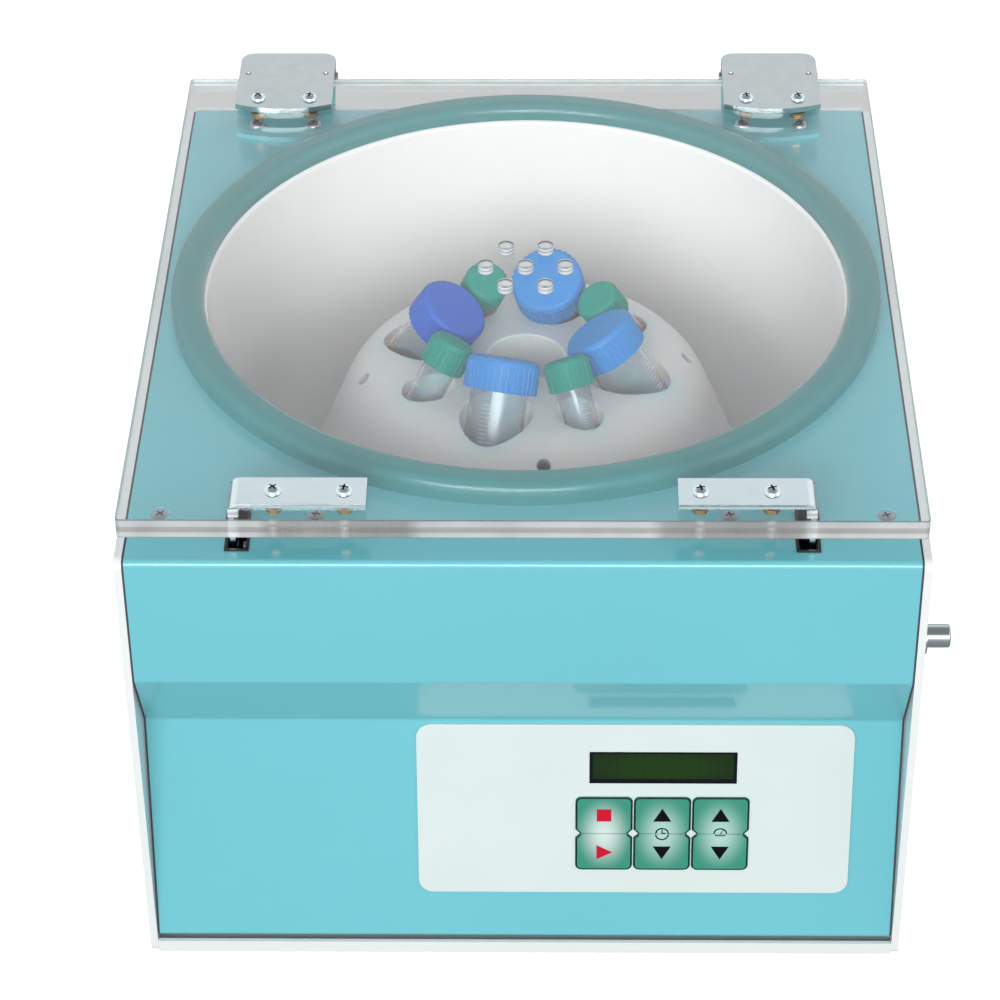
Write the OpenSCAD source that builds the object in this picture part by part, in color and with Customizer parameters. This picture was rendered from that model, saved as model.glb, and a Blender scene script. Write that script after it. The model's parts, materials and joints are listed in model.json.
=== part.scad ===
// Bench butterfat centrifuge with a clear hinged lid, millimetres, +Z up.
// The front faces -Y. The plan of the model starts at the middle of the
// body's width (x = 0), its front face (y = 0) and its base tray (z = 0),
// and seat() moves that plan to the middle of the whole part's footprint.

/* [Body] */
// Width over the two side panels
body_w = 360; // [340:1:380]
// Depth from the upper front face to the rear panel
body_d = 380; // [376:1:400]
// Height of the top panel over the base tray
body_h = 240; // [232:1:250]
// Thickness of a side panel
side_t = 3.5; // [2.5:0.5:4]
// Thickness of the folded sheet of the body shell
sheet_t = 2; // [1.5:0.5:2.5]
// Width of the dark gasket between a side panel and the shell
gasket_t = 1; // [0.6:0.2:1.4]
// Height of the upright part of the front, over the recess
upper_face_h = 69; // [66:1:72]
// How far the recess steps back under the upper front
recess_d = 21.5; // [18:0.5:24]
// Height over which the recess steps back
recess_h = 40.5; // [36:0.5:44]
// Height of the rubber feet
foot_h = 8; // [6:1:12]

/* [Chamber] */
// Depth of the top panel in front of the rounded ring
ring_front = 35; // [35:0.5:38]
// Depth of the top panel behind the ring
ring_rear = 1; // [0.5:0.5:4]
// Least width of the top panel beside the ring
ring_side = 3.5; // [2:0.5:6]
// Width of the ring round the chamber
ring_w = 17; // [16:0.5:18]
// Depth of the chamber bowl
bowl_depth = 140; // [138:1:144]

/* [Lid] */
// How far the lid's sides lie inside the body's
lid_inset = 2; // [0:0.5:4]
// How far the lid's front edge lies behind the body's
lid_y = 4; // [2:0.5:6]
// How far the lid reaches past the rear panel
lid_overhang = 3; // [2:0.5:5]
// Thickness of the clear lid
lid_t = 10; // [8:0.5:10]
// Gap between the lid and the top panel
lid_gap = 11; // [11:0.5:12]
// Diameter of the vent holes in the lid
vent_d = 7.5; // [6:0.5:9]

/* [Rotor] */
// Lean of the tubes from the vertical, in degrees
tube_tilt = 33; // [31:1:34]
// Diameter of a large tube
large_tube_d = 28; // [27:0.5:29]
// Length of a large tube
large_tube_len = 112; // [100:1:113]
// Diameter of a small tube
small_tube_d = 16.5; // [15:0.5:17]
// Length of a small tube
small_tube_len = 112; // [100:1:114]
// Diameter of a large cap
large_cap_d = 36; // [34:0.5:36]
// Diameter of a small cap
small_cap_d = 22.5; // [21:0.5:22.5]

/* [Control panel] */
// Width of the white fascia plate
fascia_w = 204; // [196:1:210]
// Length of the fascia plate up the leaning face
fascia_len = 94; // [90:1:95]
// Width of one key
key_w = 26.4; // [24:0.1:26.6]
// Length of the two keys of one pad, one above the other
pad_len = 40.6; // [38:0.2:42]
// Travel of a key
key_travel = 0.5; // [0.3:0.1:0.6]

/* [Lock] */
// Diameter of the chrome plunger on the right side
plunger_d = 10.6; // [9:0.2:12]
// Travel of the plunger
lock_travel = 6; // [5:0.5:6]

/* [Hidden] */
$fn = 96;

// Overlap that makes a cut break cleanly through a face
cut = 1;
// Gap between pieces of different bodies
free = 0.3;
// Radial clearance of a shaft or pin that turns or slides in its bore
running = 0.05;

// Heights
lid_under = body_h + lid_gap;
lid_top = lid_under + lid_t;
recess_top = body_h - upper_face_h;
recess_bottom = recess_top - recess_h;
lower_y = 1.5;
lower_z = 8;

// Widths
panel_in = body_w / 2 - side_t;
shell_half = panel_in - gasket_t;

// The chamber fills the body's top, midway between its front and rear margins
ring_r = min((body_d - ring_front - ring_rear) / 2, shell_half - ring_side);
axis_y = (ring_front + body_d - ring_rear) / 2;
bowl_r = ring_r - ring_w;

// Depths
lid_rear = body_d + lid_overhang;
pivot_y = lid_rear + 10;
plate_rear_y = pivot_y + 12;

// The whole part's footprint, which seat() centres on the origin
plunger_out = lock_travel + 6;
centre_x = plunger_out / 2;
centre_y = plate_rear_y / 2;

// Lean of the lower front face
lean = atan((recess_d - lower_y) / (recess_bottom - lower_z));
face_len = norm([recess_d - lower_y, recess_bottom - lower_z]);

// Colours
TEAL = [0.50, 0.82, 0.86];
WHITE = [0.93, 0.94, 0.94];
BLACK = [0.08, 0.08, 0.09];
CHROME = [0.78, 0.79, 0.80];
CLEAR = [0.85, 0.95, 0.96, 0.35];
BLUE = [0.36, 0.58, 0.84];
GREEN = [0.29, 0.64, 0.56];
BRASS = [0.78, 0.60, 0.30];

// Placing

module seat() {
    translate([-centre_x, -centre_y, foot_h]) children();
}

// Puts x across, y up the leaning face and z out of it, from its lower edge
module on_lower_face() {
    translate([0, lower_y, lower_z]) rotate([90 - lean, 0, 0]) children();
}

module at_axis() {
    translate([0, axis_y, 0]) children();
}

module both_sides(x) {
    for (side = [-1, 1]) translate([side * x, 0, 0]) children();
}

// Places a profile drawn in (y, z) and extrudes it along x, centred on x
module across(x, width) {
    translate([x - width / 2, 0, 0]) rotate([90, 0, 90])
        linear_extrude(width) children();
}

// Paths with round bends

function unit(v) = v / norm(v);

// Unit vector to the left of the way from a to b
function left_of(a, b) = unit([a.y - b.y, b.x - a.x]);

// The same open path moved t to its left, with mitred corners
function moved_path(path, t) = [
    for (i = [0:len(path) - 1])
        let (last = len(path) - 1,
             n1 = left_of(path[max(i - 1, 0)], path[max(i, 1)]),
             n2 = left_of(path[min(i, last - 1)], path[min(i + 1, last)]))
        path[i] + t * (n1 + n2) / (1 + n1 * n2)];

function corner_arc(before, p, after, r, steps) =
    r <= 0 ? [p] :
    let (u = unit(before - p), v = unit(after - p),
         half = acos(u * v) / 2,
         centre = p + unit(u + v) * r / sin(half),
         start = p + u * r / tan(half) - centre,
         end = p + v * r / tan(half) - centre,
         turn = cross(start, end) > 0 ? 1 : -1,
         from = atan2(start.y, start.x))
    [for (i = [0:steps])
        let (a = from + turn * (180 - 2 * half) * i / steps)
        centre + r * [cos(a), sin(a)]];

// A closed outline with each corner rounded to its own radius
function rounded(path, radii, steps = 5) = [
    for (i = [0:len(path) - 1])
        each corner_arc(path[(i + len(path) - 1) % len(path)], path[i],
                        path[(i + 1) % len(path)], radii[i], steps)];

function reversed(list) = [for (i = [len(list) - 1:-1:0]) list[i]];

// Outline of a folded sheet: the outer path, then the same path moved in.
// A bend's radius is given for the outer path, and the inner one follows.
function sheet_outline(path, t, radii) =
    rounded(concat(path, reversed(moved_path(path, t))),
            concat(radii, reversed([for (r = radii) inner_radius(r, t)])));

function inner_radius(r, t) = r == 0 ? 0 : max(r - t, r < 0 ? -r : 0.4);

module rounded_plate(w, h, r, t) {
    linear_extrude(t) rounded_rectangle(w, h, r);
}

module rounded_rectangle(w, h, r) {
    polygon(rounded([[-w / 2, -h / 2], [w / 2, -h / 2],
                     [w / 2, h / 2], [-w / 2, h / 2]], [r, r, r, r]));
}

// Casing

bend_r = 3;
rear_t = 2;
flange_h = 16;
shell_foot = 16;
// The outer path of the shell in (y, z), from its rear flange to its foot
shell_path = [[body_d - rear_t, body_h - flange_h],
              [body_d - rear_t, body_h], [0, body_h], [0, recess_top],
              [recess_d, recess_bottom], [lower_y, lower_z],
              [lower_y + shell_foot, lower_z]];
shell_bends = [0, bend_r, bend_r, bend_r, bend_r, bend_r, 0];

panel_hole_r = bowl_r + 4;
top_screw_x = [for (x = [14, 83.5]) each [x - shell_half, shell_half - x]];
top_screw_y = 29;
plunger_y = 12;
plunger_z = body_h - 50.5;

fascia_x = 52;
fascia_s = face_len - 2.3 - fascia_len / 2;
display_x = fascia_x + 13.3;
display_s = fascia_s + 23.4;
display_w = 69;
display_h = 17.4;
pad_s = fascia_s - 13.2;
pad_gap = 1.05;
pad_pitch = key_w + pad_gap;
keypad_w = 3 * pad_pitch + 3;

module body_shell() {
    seat() color(TEAL) difference() {
        union() {
            across(0, 2 * shell_half)
                polygon(sheet_outline(shell_path, sheet_t, shell_bends));
            both_sides(shell_half - sheet_t / 2) shell_flange();
        }
        at_axis() translate([0, 0, body_h - sheet_t - cut])
            cylinder(r = panel_hole_r, h = sheet_t + 2 * cut, $fn = 180);
        both_sides(socket_x) translate([0, socket_y, body_h - 9])
            linear_extrude(10) square([socket_w, socket_len], center = true);
        for (x = top_screw_x)
            translate([x, top_screw_y, 0]) countersink(body_h);
        for (p = hinge_base_screw_places)
            translate([p.x, p.y, body_h - 6]) cylinder(r = 2.1, h = 8);
        on_lower_face() {
            translate([display_x, display_s, -6])
                linear_extrude(8)
                    square([display_w + 4, display_h + 3], center = true);
            translate([display_x, pad_s, -6])
                linear_extrude(8)
                    square([keypad_w, pad_len + 3], center = true);
        }
        both_sides(shell_half) for (p = upper_side_screw_places)
            translate([0, p.x, p.y]) rotate([0, 90, 0])
                cylinder(r = side_screw_r + 0.1, h = 12, center = true);
        rear_screw_holes();
    }
}

// The flange folded down inside each side of the top
module shell_flange() {
    across(0, sheet_t)
        polygon([[14, body_h - sheet_t / 2], [body_d - 8, body_h - sheet_t / 2],
                 [body_d - 8, body_h - flange_h], [14, body_h - flange_h]]);
}

side_screw_r = 2;
upper_side_screw_places = [[60, body_h - 9], [body_d - 60, body_h - 9]];
lower_side_screw_places = [[60, 11], [body_d - 60, 11]];
side_screw_places = concat(upper_side_screw_places, lower_side_screw_places);

side_outline = rounded([[0, 0], [body_d, 0], [body_d, body_h], [0, body_h]],
                       [3, 3, 5, 5]);

module side_panel(side) {
    mirror([side < 0 ? 1 : 0, 0, 0])
        translate([body_w / 2 - side_t / 2, 0, 0]) difference() {
            across(0, side_t) polygon(side_outline);
            for (p = side_screw_places) translate([0, p.x, p.y])
                rotate([0, 90, 0]) union() {
                    cylinder(r = side_screw_r + 0.1, h = 12, center = true);
                    translate([0, 0, side_t / 2 - 2])
                        cylinder(r1 = side_screw_r, r2 = side_screw_r + 2.4,
                                 h = 2.2);
                }
        }
}

module left_side_panel() {
    seat() color(WHITE) side_panel(-1);
}

bushing_neck_r = plunger_d / 2 + 1.7;
module right_side_panel() {
    seat() color(WHITE) difference() {
        side_panel(1);
        translate([panel_in - cut, plunger_y, plunger_z])
            rotate([0, 90, 0])
                cylinder(r = bushing_neck_r, h = side_t + 2 * cut);
    }
}

gasket_w = 3.6;
module side_gaskets() {
    seat() color(BLACK) both_sides(shell_half + gasket_t / 2)
        across(0, gasket_t)
            polygon(sheet_outline(moved_path(shell_path, 0.4), gasket_w,
                                  shell_bends));
}

tray_t = 2;
tray_side_h = 20;
// The tray's side flanges start behind the shell's folded foot
tray_side_y = lower_y + shell_foot + 1;
// Where the feet stand, from the body's middle and from its front
foot_inset = 30;
foot_places = [for (x = [foot_inset - body_w / 2, body_w / 2 - foot_inset],
                    y = [foot_inset + 4, body_d - foot_inset - 4]) [x, y]];
vent_pitch = 9;

module base_tray() {
    seat() color(WHITE) difference() {
        union() {
            translate([-panel_in, 0, 0])
                cube([2 * panel_in, body_d - rear_t, tray_t]);
            translate([-panel_in, 0, 0]) cube([2 * panel_in, tray_t, 6.8]);
            translate([-panel_in, body_d - rear_t - tray_t, 0])
                cube([2 * panel_in, tray_t, tray_side_h]);
            both_sides(panel_in - tray_t / 2)
                translate([-tray_t / 2, tray_side_y, 0])
                    cube([tray_t, body_d - rear_t - tray_side_y, tray_side_h]);
        }
        for (p = foot_places) translate([p.x, p.y, -cut])
            cylinder(r = 2.3, h = tray_t + 2 * cut);
        for (x = [-110, 110], i = [-4:4])
            translate([x, axis_y + i * vent_pitch, 0])
                cube([60, 3.6, 3 * tray_t], center = true);
        both_sides(panel_in) for (p = lower_side_screw_places)
            translate([0, p.x, p.y]) rotate([0, 90, 0])
                cylinder(r = side_screw_r + 0.1, h = 12, center = true);
        rear_screw_holes();
    }
}

module feet() {
    seat() color(BLACK) for (p = foot_places) translate([p.x, p.y, -foot_h])
        difference() {
            cylinder(r1 = 10.5, r2 = 12.5, h = foot_h);
            translate([0, 0, -cut]) cylinder(r = 5, h = 4 + cut);
            cylinder(r = 2.3, h = foot_h + cut);
        }
}

module foot_screws() {
    seat() color(CHROME) for (p = foot_places)
        translate([p.x, p.y, 4 - foot_h]) {
            mirror([0, 0, 1]) pan_head(4, 2);
            cylinder(r = 2, h = foot_h - 4 + tray_t + 3.6);
            translate([0, 0, foot_h - 4 + tray_t])
                difference() {
                    cylinder(r = 4, h = 3, $fn = 6);
                    translate([0, 0, -cut]) cylinder(r = 1.99, h = 5);
                }
        }
}

// Fasteners

// A raised head on z = 0 with a cross recess, r over the head
module pan_head(r, h) {
    difference() {
        union() {
            cylinder(r = r, h = h * 0.45);
            translate([0, 0, h * 0.45]) cylinder(r1 = r, r2 = r * 0.62,
                                                 h = h * 0.55);
        }
        cross_recess(r, h);
    }
}

module cross_recess(r, h) {
    for (turn = [0, 90]) rotate([0, 0, turn])
        translate([-r * 0.5, -r * 0.11, h * 0.45])
            cube([r, r * 0.22, h]);
}

// The cut for a flush head at height z
module countersink(z) {
    translate([0, 0, z - 2]) cylinder(r1 = 2.2, r2 = 4.7, h = 2.01);
    translate([0, 0, z - 8]) cylinder(r = 2.1, h = 9);
}

module flush_screw(length) {
    difference() {
        union() {
            translate([0, 0, -1.95]) cylinder(r1 = 2.15, r2 = 4.6, h = 1.95);
            translate([0, 0, -length]) cylinder(r = 2, h = length - 1.9);
        }
        for (turn = [0, 90]) rotate([0, 0, turn])
            translate([-2.4, -0.5, -1]) cube([4.8, 1, 2]);
    }
}

module top_screws() {
    seat() color(CHROME) for (x = top_screw_x)
        translate([x, top_screw_y, body_h]) flush_screw(12);
}

module side_screws() {
    seat() color(CHROME) for (side = [-1, 1], p = side_screw_places)
        mirror([side < 0 ? 1 : 0, 0, 0])
            translate([body_w / 2, p.x, p.y]) rotate([0, 90, 0])
                scale(0.88) flush_screw(9);
}

rear_screw_places = [for (x = [10.5 - shell_half, 0, shell_half - 10.5],
                         z = [11, body_h - 9]) [x, z]];
module rear_screw_holes() {
    for (p = rear_screw_places) translate([p.x, body_d, p.y])
        rotate([90, 0, 0]) cylinder(r = 2, h = 12, center = true);
}

module rear_screws() {
    seat() color(CHROME) for (p = rear_screw_places)
        translate([p.x, body_d, p.y]) rotate([-90, 0, 0]) {
            pan_head(3.6, 2.2);
            translate([0, 0, -7]) cylinder(r = 1.9, h = 7);
        }
}

// Rear

inlet_x = 60 - body_w / 2;
inlet_z = 52;
switch_x = inlet_x + 48;
fuse_x = switch_x + 28;

louvre_x = [body_w / 2 - 133, body_w / 2 - 58];
louvre_w = 54;
louvre_pitch = 11;
module rear_panel() {
    seat() color(WHITE) difference() {
        translate([-shell_half, body_d - rear_t, tray_t])
            cube([2 * shell_half, rear_t, body_h - tray_t]);
        for (x = louvre_x, i = [0:9])
            translate([x, body_d, 70 + i * louvre_pitch])
                cube([louvre_w, 6, 4.4], center = true);
        translate([inlet_x, body_d, inlet_z]) cube([28.4, 6, 20.4],
                                                   center = true);
        translate([switch_x, body_d, inlet_z]) cube([19.4, 6, 13.4],
                                                    center = true);
        translate([fuse_x, body_d, inlet_z]) rotate([90, 0, 0])
            cylinder(r = 6.3, h = 6, center = true);
        rear_screw_holes();
    }
}

inlet_depth = 22;
inlet_flange_w = 50;
inlet_flange_h = 23;
module mains_inlet() {
    seat() translate([inlet_x, body_d, inlet_z]) {
        color(BLACK) difference() {
            union() {
                translate([-14, -inlet_depth, -10])
                    cube([28, inlet_depth + 0.5, 20]);
                rotate([-90, 0, 0]) rounded_plate(inlet_flange_w, inlet_flange_h, 5,
                                                2.4);
            }
            translate([-12.2, 3 - inlet_depth, -8.2])
                cube([24.4, inlet_depth, 16.4]);
            both_sides(20) rotate([90, 0, 0])
                cylinder(r = 1.8, h = 8, center = true);
        }
        color(BRASS) for (p = [[-7, -2], [0, 2], [7, -2]])
            translate([p.x - 1, 2.9 - inlet_depth, p.y - 2])
                cube([2, 14, 4]);
    }
}

rocker_r = 9;
module switch_frame() {
    seat() color(BLACK) translate([switch_x, body_d, inlet_z]) difference() {
        union() {
            translate([-9.6, -16, -6.6]) cube([19.2, 16.5, 13.2]);
            rotate([-90, 0, 0]) rounded_plate(22, 16, 1.5, 1.6);
        }
        translate([-8.2, -11, -5.2]) cube([16.4, 14, 10.4]);
        translate([0, -4, 0]) rotate([0, 90, 0])
            cylinder(r = 1.2 + running, h = 18, center = true);
    }
}

rocker_tilt = 9;
module rocker_switch() {
    seat() color(BLACK) translate([switch_x, body_d - 4, inlet_z])
        rotate([rocker_tilt, 0, 0]) {
            rotate([0, 90, 0]) cylinder(r = 1.2, h = 17.6, center = true);
            across(0, 15.4) polygon([[-4, -2.6], [4.8, -4.1], [5.6, -4],
                                     [4.6, 0], [5.6, 4], [4.8, 4.1],
                                     [-4, 2.6]]);
        }
}

module fuse_holder() {
    seat() color(BLACK) translate([fuse_x, body_d, inlet_z])
        rotate([-90, 0, 0]) difference() {
            union() {
                translate([0, 0, -26]) cylinder(r = 6.2, h = 27);
                cylinder(r = 8, h = 3);
                cylinder(r1 = 6.4, r2 = 6, h = 8);
            }
            translate([-5, -0.8, 6.8]) cube([10, 1.6, 3]);
        }
}

// Chamber

bowl_t = 2;
bowl_lip = bowl_t;
bowl_floor = body_h - bowl_depth;
bowl_corner = 45;
bowl_flange = 12;
hub_hole_r = 16;
bowl_path = [[bowl_r + bowl_flange, body_h + bowl_lip],
             [bowl_r, body_h + bowl_lip],
             [bowl_r - 5, bowl_floor], [hub_hole_r, bowl_floor]];
bowl_outline =
    rounded(concat(bowl_path, reversed(moved_path(bowl_path, bowl_t))),
            [0, 2.5, bowl_corner, 0, 0, bowl_corner + 2, 1, 0], 8);

module chamber_bowl() {
    seat() color(WHITE) at_axis() rotate_extrude($fn = 180)
        polygon(bowl_outline);
}

ring_in = bowl_r + 1;
ring_h = lid_gap - free;
ring_seat_r = bowl_r + bowl_flange + 0.4;
ring_seat_h = bowl_lip + 0.2;
module rim_ring() {
    seat() color(TEAL) at_axis() rotate_extrude($fn = 180)
        translate([0, body_h])
            polygon(rounded([[ring_in, ring_seat_h], [ring_in, ring_h],
                             [ring_r, ring_h], [ring_r, 0],
                             [ring_seat_r, 0], [ring_seat_r, ring_seat_h]],
                            [0, 6, 6, 0, 0, 0], 8));
}

// Lid

lid_half = body_w / 2 - lid_inset;
lid_outline = rounded([[-lid_half, lid_y], [lid_half, lid_y],
                       [lid_half, lid_rear], [-lid_half, lid_rear]],
                      [2, 2, 2, 2]);
vent_gap = 19.3;
m4_r = 2;
m4_hole_r = 2.25;

hinge_x = body_w / 2 - 53;
hinge_w = 50;
hinge_t = 3;
hinge_front_y = lid_rear - 35.5;
plate_screw_y = hinge_front_y + 11;
plate_screw_dx = 13.4;
base_screw_y = hinge_front_y + 10;
base_screw_dx = 15;
hinge_plate_screw_places =
    [for (side = [-1, 1], dx = [-plate_screw_dx, plate_screw_dx])
        [side * hinge_x + dx, plate_screw_y]];
hinge_base_screw_places =
    [for (side = [-1, 1], dx = [-base_screw_dx, base_screw_dx])
        [side * hinge_x + dx, base_screw_y]];

bracket_out = body_w / 2 - 51;
bracket_len = 60.5;
bracket_in = bracket_out - bracket_len;
bracket_t = 2.5;
bracket_y = 12;
bracket_d = 19.4;
bracket_mid_y = bracket_y + bracket_d / 2;
bracket_screw_x = [bracket_in + 9.9, bracket_in + 41.3];
bracket_screw_places =
    [for (side = [-1, 1], x = bracket_screw_x) [side * x, bracket_mid_y]];

// The lined slots in the top panel that the brackets' tongues enter
socket_x = bracket_out - 2.8;
socket_w = 9.5;
socket_front = 3.2;
socket_rear = 1.4;
socket_len = bracket_d + socket_front + socket_rear;
socket_y = bracket_mid_y + (socket_rear - socket_front) / 2;

module lid() {
    seat() color(CLEAR) difference() {
        translate([0, 0, lid_under]) linear_extrude(lid_t)
            polygon(lid_outline);
        translate([0, axis_y, lid_under - cut]) {
            cylinder(r = vent_d / 2, h = lid_t + 2 * cut);
            for (i = [0:5]) rotate([0, 0, 60 * i])
                translate([vent_gap, 0, 0])
                    cylinder(r = vent_d / 2, h = lid_t + 2 * cut);
        }
        for (p = concat(hinge_plate_screw_places, bracket_screw_places))
            translate([p.x, p.y, lid_under - cut])
                cylinder(r = m4_hole_r, h = lid_t + 2 * cut);
        for (side = [0, 1]) mirror([side, 0, 0])
            translate([bracket_out - tongue_bend_r - free,
                       bracket_y - free, lid_under - cut])
                cube([tongue_bend_r + 2 * free, bracket_d + 2 * free,
                      lid_t + 2 * cut]);
    }
}

module raised_screws(places, z, length) {
    for (p = places) translate([p.x, p.y, z]) {
        pan_head(4, 2.6);
        translate([0, 0, -length]) cylinder(r = m4_r, h = length);
    }
}

module hinge_plate_screws() {
    seat() color(CHROME)
        raised_screws(hinge_plate_screw_places, lid_top + hinge_t,
                      hinge_t + lid_t + nut_stack + 1);
}

module bracket_screws() {
    seat() color(CHROME)
        raised_screws(bracket_screw_places, lid_top + bracket_t,
                      bracket_t + lid_t + nut_stack + 1);
}

module hinge_base_screws() {
    seat() color(CHROME)
        raised_screws(hinge_base_screw_places, body_h + leaf_t, 9);
}

washer_t = 0.8;
nut_t = 2.6;
nut_stack = washer_t + nut_t;
// Washer and nut under the lid on every screw through it
module lid_nuts() {
    seat() color(BRASS)
        for (p = concat(hinge_plate_screw_places, bracket_screw_places))
            translate([p.x, p.y, lid_under]) mirror([0, 0, 1]) difference() {
                union() {
                    cylinder(r = 4.6, h = washer_t);
                    translate([0, 0, washer_t])
                        cylinder(r = 3.9, h = nut_t, $fn = 6);
                }
                translate([0, 0, -cut]) cylinder(r = m4_r + 0.01, h = 6);
            }
}

// Latch brackets

tongue_bottom = body_h - 15;
tongue_bend_r = 4;
pin_z = body_h - 8;
pin_y = bracket_mid_y;
pin_r = 2.4;
window_w = 8;
// The bracket's path in (x, z): along the lid, round the bend and down
bracket_path = [[bracket_in, lid_top + bracket_t],
                [bracket_out, lid_top + bracket_t],
                [bracket_out, tongue_bottom]];

module lock_bracket(side) {
    mirror([side < 0 ? 1 : 0, 0, 0]) difference() {
        translate([0, bracket_y + bracket_d, 0]) rotate([90, 0, 0])
            linear_extrude(bracket_d)
                polygon(sheet_outline(reversed(bracket_path), bracket_t,
                                      [0, tongue_bend_r, 0]));
        for (x = bracket_screw_x)
            translate([x, bracket_mid_y, lid_top - cut])
                cylinder(r = m4_r + 0.1, h = 6);
        translate([bracket_out, pin_y, pin_z])
            cube([12, window_w, window_w], center = true);
    }
}

module left_lock_bracket() {
    seat() color(CHROME) lock_bracket(-1);
}

module right_lock_bracket() {
    seat() color(CHROME) lock_bracket(1);
}

// A lined slot, open below and drilled across for the pin
socket_wall = 0.7;
socket_depth = 18;
module lock_socket(side) {
    translate([side * socket_x, socket_y, 0]) difference() {
        union() {
            socket_block(socket_w - 0.1, socket_len - 0.1,
                         body_h - socket_depth, socket_depth);
            socket_block(socket_w + 1.4, socket_len + 1.4, body_h, 0.8);
        }
        socket_block(socket_w - 2 * socket_wall, socket_len - 2 * socket_wall,
                     body_h - socket_depth - cut, socket_depth + 4);
        translate([0, pin_y - socket_y, pin_z])
            cube([20, window_w, window_w], center = true);
    }
}

module socket_block(w, len, z, h) {
    translate([0, 0, z]) linear_extrude(h) square([w, len], center = true);
}

module left_lock_socket() {
    seat() color(BLACK) lock_socket(-1);
}

module right_lock_socket() {
    seat() color(BLACK) lock_socket(1);
}

// Sliding bar: its pins rest beside the tongues and enter them when pushed
bar_r = 4;
bar_left = -bracket_out + 11;
bar_right = panel_in - 14;
finger_t = 3;
pin_gap = 2.2;
pin_len = lock_travel + 4.5;

module lock_finger(tongue_face) {
    tip = tongue_face + pin_gap;
    root = tip + pin_len;
    difference() {
        translate([root, plunger_y - 5, plunger_z - 6])
            cube([finger_t, pin_y - plunger_y + 10, pin_z - plunger_z + 10]);
        translate([root - cut, plunger_y, plunger_z]) rotate([0, 90, 0])
            cylinder(r = bar_r - 0.5, h = finger_t + 2 * cut);
    }
    translate([tip, pin_y, pin_z]) rotate([0, 90, 0])
        cylinder(r = pin_r, h = pin_len + finger_t / 2);
}

module lock_bar() {
    seat() color(CHROME) {
        translate([bar_left, plunger_y, plunger_z]) rotate([0, 90, 0])
            cylinder(r = bar_r, h = bar_right - bar_left);
        lock_finger(bracket_out);
        lock_finger(-bracket_out + bracket_t);
    }
}

plunger_edge = 0.6;
module lock_plunger() {
    barrel = body_w / 2 + plunger_out - plunger_edge - bar_right;
    seat() color(CHROME) translate([bar_right, plunger_y, plunger_z])
        rotate([0, 90, 0]) {
            cylinder(r = plunger_d / 2, h = barrel);
            translate([0, 0, barrel])
                cylinder(r1 = plunger_d / 2, r2 = plunger_d / 2 - plunger_edge,
                         h = plunger_edge);
        }
}

module plunger_bushing() {
    seat() color(CHROME) translate([panel_in - 4, plunger_y, plunger_z])
        rotate([0, 90, 0]) difference() {
            union() {
                cylinder(r = bushing_neck_r, h = side_t + 4);
                translate([0, 0, side_t + 4])
                    cylinder(r = bushing_neck_r + 1.2, h = 1.4);
            }
            translate([0, 0, -cut])
                cylinder(r = plunger_d / 2 + running, h = side_t + 8);
        }
}

guide_x = [-60, 60];
module bar_guides() {
    seat() color(CHROME) for (x = guide_x) difference() {
        union() {
            translate([x - 2, sheet_t, plunger_z - 8]) cube([4, 18, 16]);
            translate([x - 8, sheet_t, plunger_z - 8]) cube([16, 2, 16]);
        }
        translate([x - 3, plunger_y, plunger_z]) rotate([0, 90, 0])
            cylinder(r = bar_r + running, h = 6);
    }
}

// Hinges

leaf_t = 2.5;
pivot_z = lid_top - 5;
knuckle_r = 4.7;
hinge_pin_r = 2;
mid_knuckle = 24;
front_bulge = 5;
arm_half = 2.4;

// Outline of a leaf in (x, y): a bulging front edge and round rear corners
function leaf_outline(front_y, rear_y, corner) =
    let (chord = hinge_w, sag = front_bulge,
         r = (chord * chord / 4 + sag * sag) / (2 * sag),
         half = asin(chord / 2 / r))
    concat([for (i = [-8:8])
               [r * sin(half * i / 8),
                front_y + r - r * cos(half * i / 8)]],
           rounded([[hinge_w / 2, rear_y - 2 * corner], [hinge_w / 2, rear_y],
                    [-hinge_w / 2, rear_y],
                    [-hinge_w / 2, rear_y - 2 * corner]],
                   [0, corner, corner, 0]));

module hinge_plate(side) {
    translate([side * hinge_x, 0, 0]) difference() {
        union() {
            translate([0, 0, lid_top]) linear_extrude(hinge_t)
                polygon(leaf_outline(hinge_front_y, plate_rear_y, 7));
            translate([0, pivot_y, pivot_z]) rotate([0, 90, 0])
                cylinder(r = knuckle_r, h = mid_knuckle, center = true);
            translate([-mid_knuckle / 2, pivot_y - 4, pivot_z])
                cube([mid_knuckle, 8, lid_top - pivot_z]);
        }
        translate([0, pivot_y, pivot_z]) rotate([0, 90, 0])
            cylinder(r = hinge_pin_r + running, h = mid_knuckle + 2,
                     center = true);
        for (dx = [-plate_screw_dx, plate_screw_dx])
            translate([dx, plate_screw_y, lid_top - cut])
                cylinder(r = m4_r + 0.1, h = 6);
        for (dx = [-20.4, 20.4])
            translate([dx, lid_rear + 1, lid_top + hinge_t - 0.8])
                cylinder(r1 = 1.1, r2 = 1.6, h = 1);
    }
}

module left_hinge_plate() {
    seat() color(CHROME) hinge_plate(-1);
}

module right_hinge_plate() {
    seat() color(CHROME) hinge_plate(1);
}

module hinge_base(side) {
    side_knuckle = (hinge_w - mid_knuckle) / 2 - free;
    translate([side * hinge_x, 0, 0]) difference() {
        union() {
            translate([0, 0, body_h]) linear_extrude(leaf_t)
                polygon(leaf_outline(hinge_front_y - 2.5, lid_rear, 1));
            both_sides(hinge_w / 2 - side_knuckle / 2) {
                translate([0, pivot_y, pivot_z]) rotate([0, 90, 0])
                    cylinder(r = knuckle_r, h = side_knuckle, center = true);
                across(0, side_knuckle) hinge_arm();
            }
        }
        translate([0, pivot_y, pivot_z]) rotate([0, 90, 0])
            cylinder(r = hinge_pin_r, h = hinge_w + 2, center = true);
        for (dx = [-base_screw_dx, base_screw_dx])
            translate([dx, base_screw_y, body_h - cut])
                cylinder(r = m4_r + 0.1, h = 6);
    }
}

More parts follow.
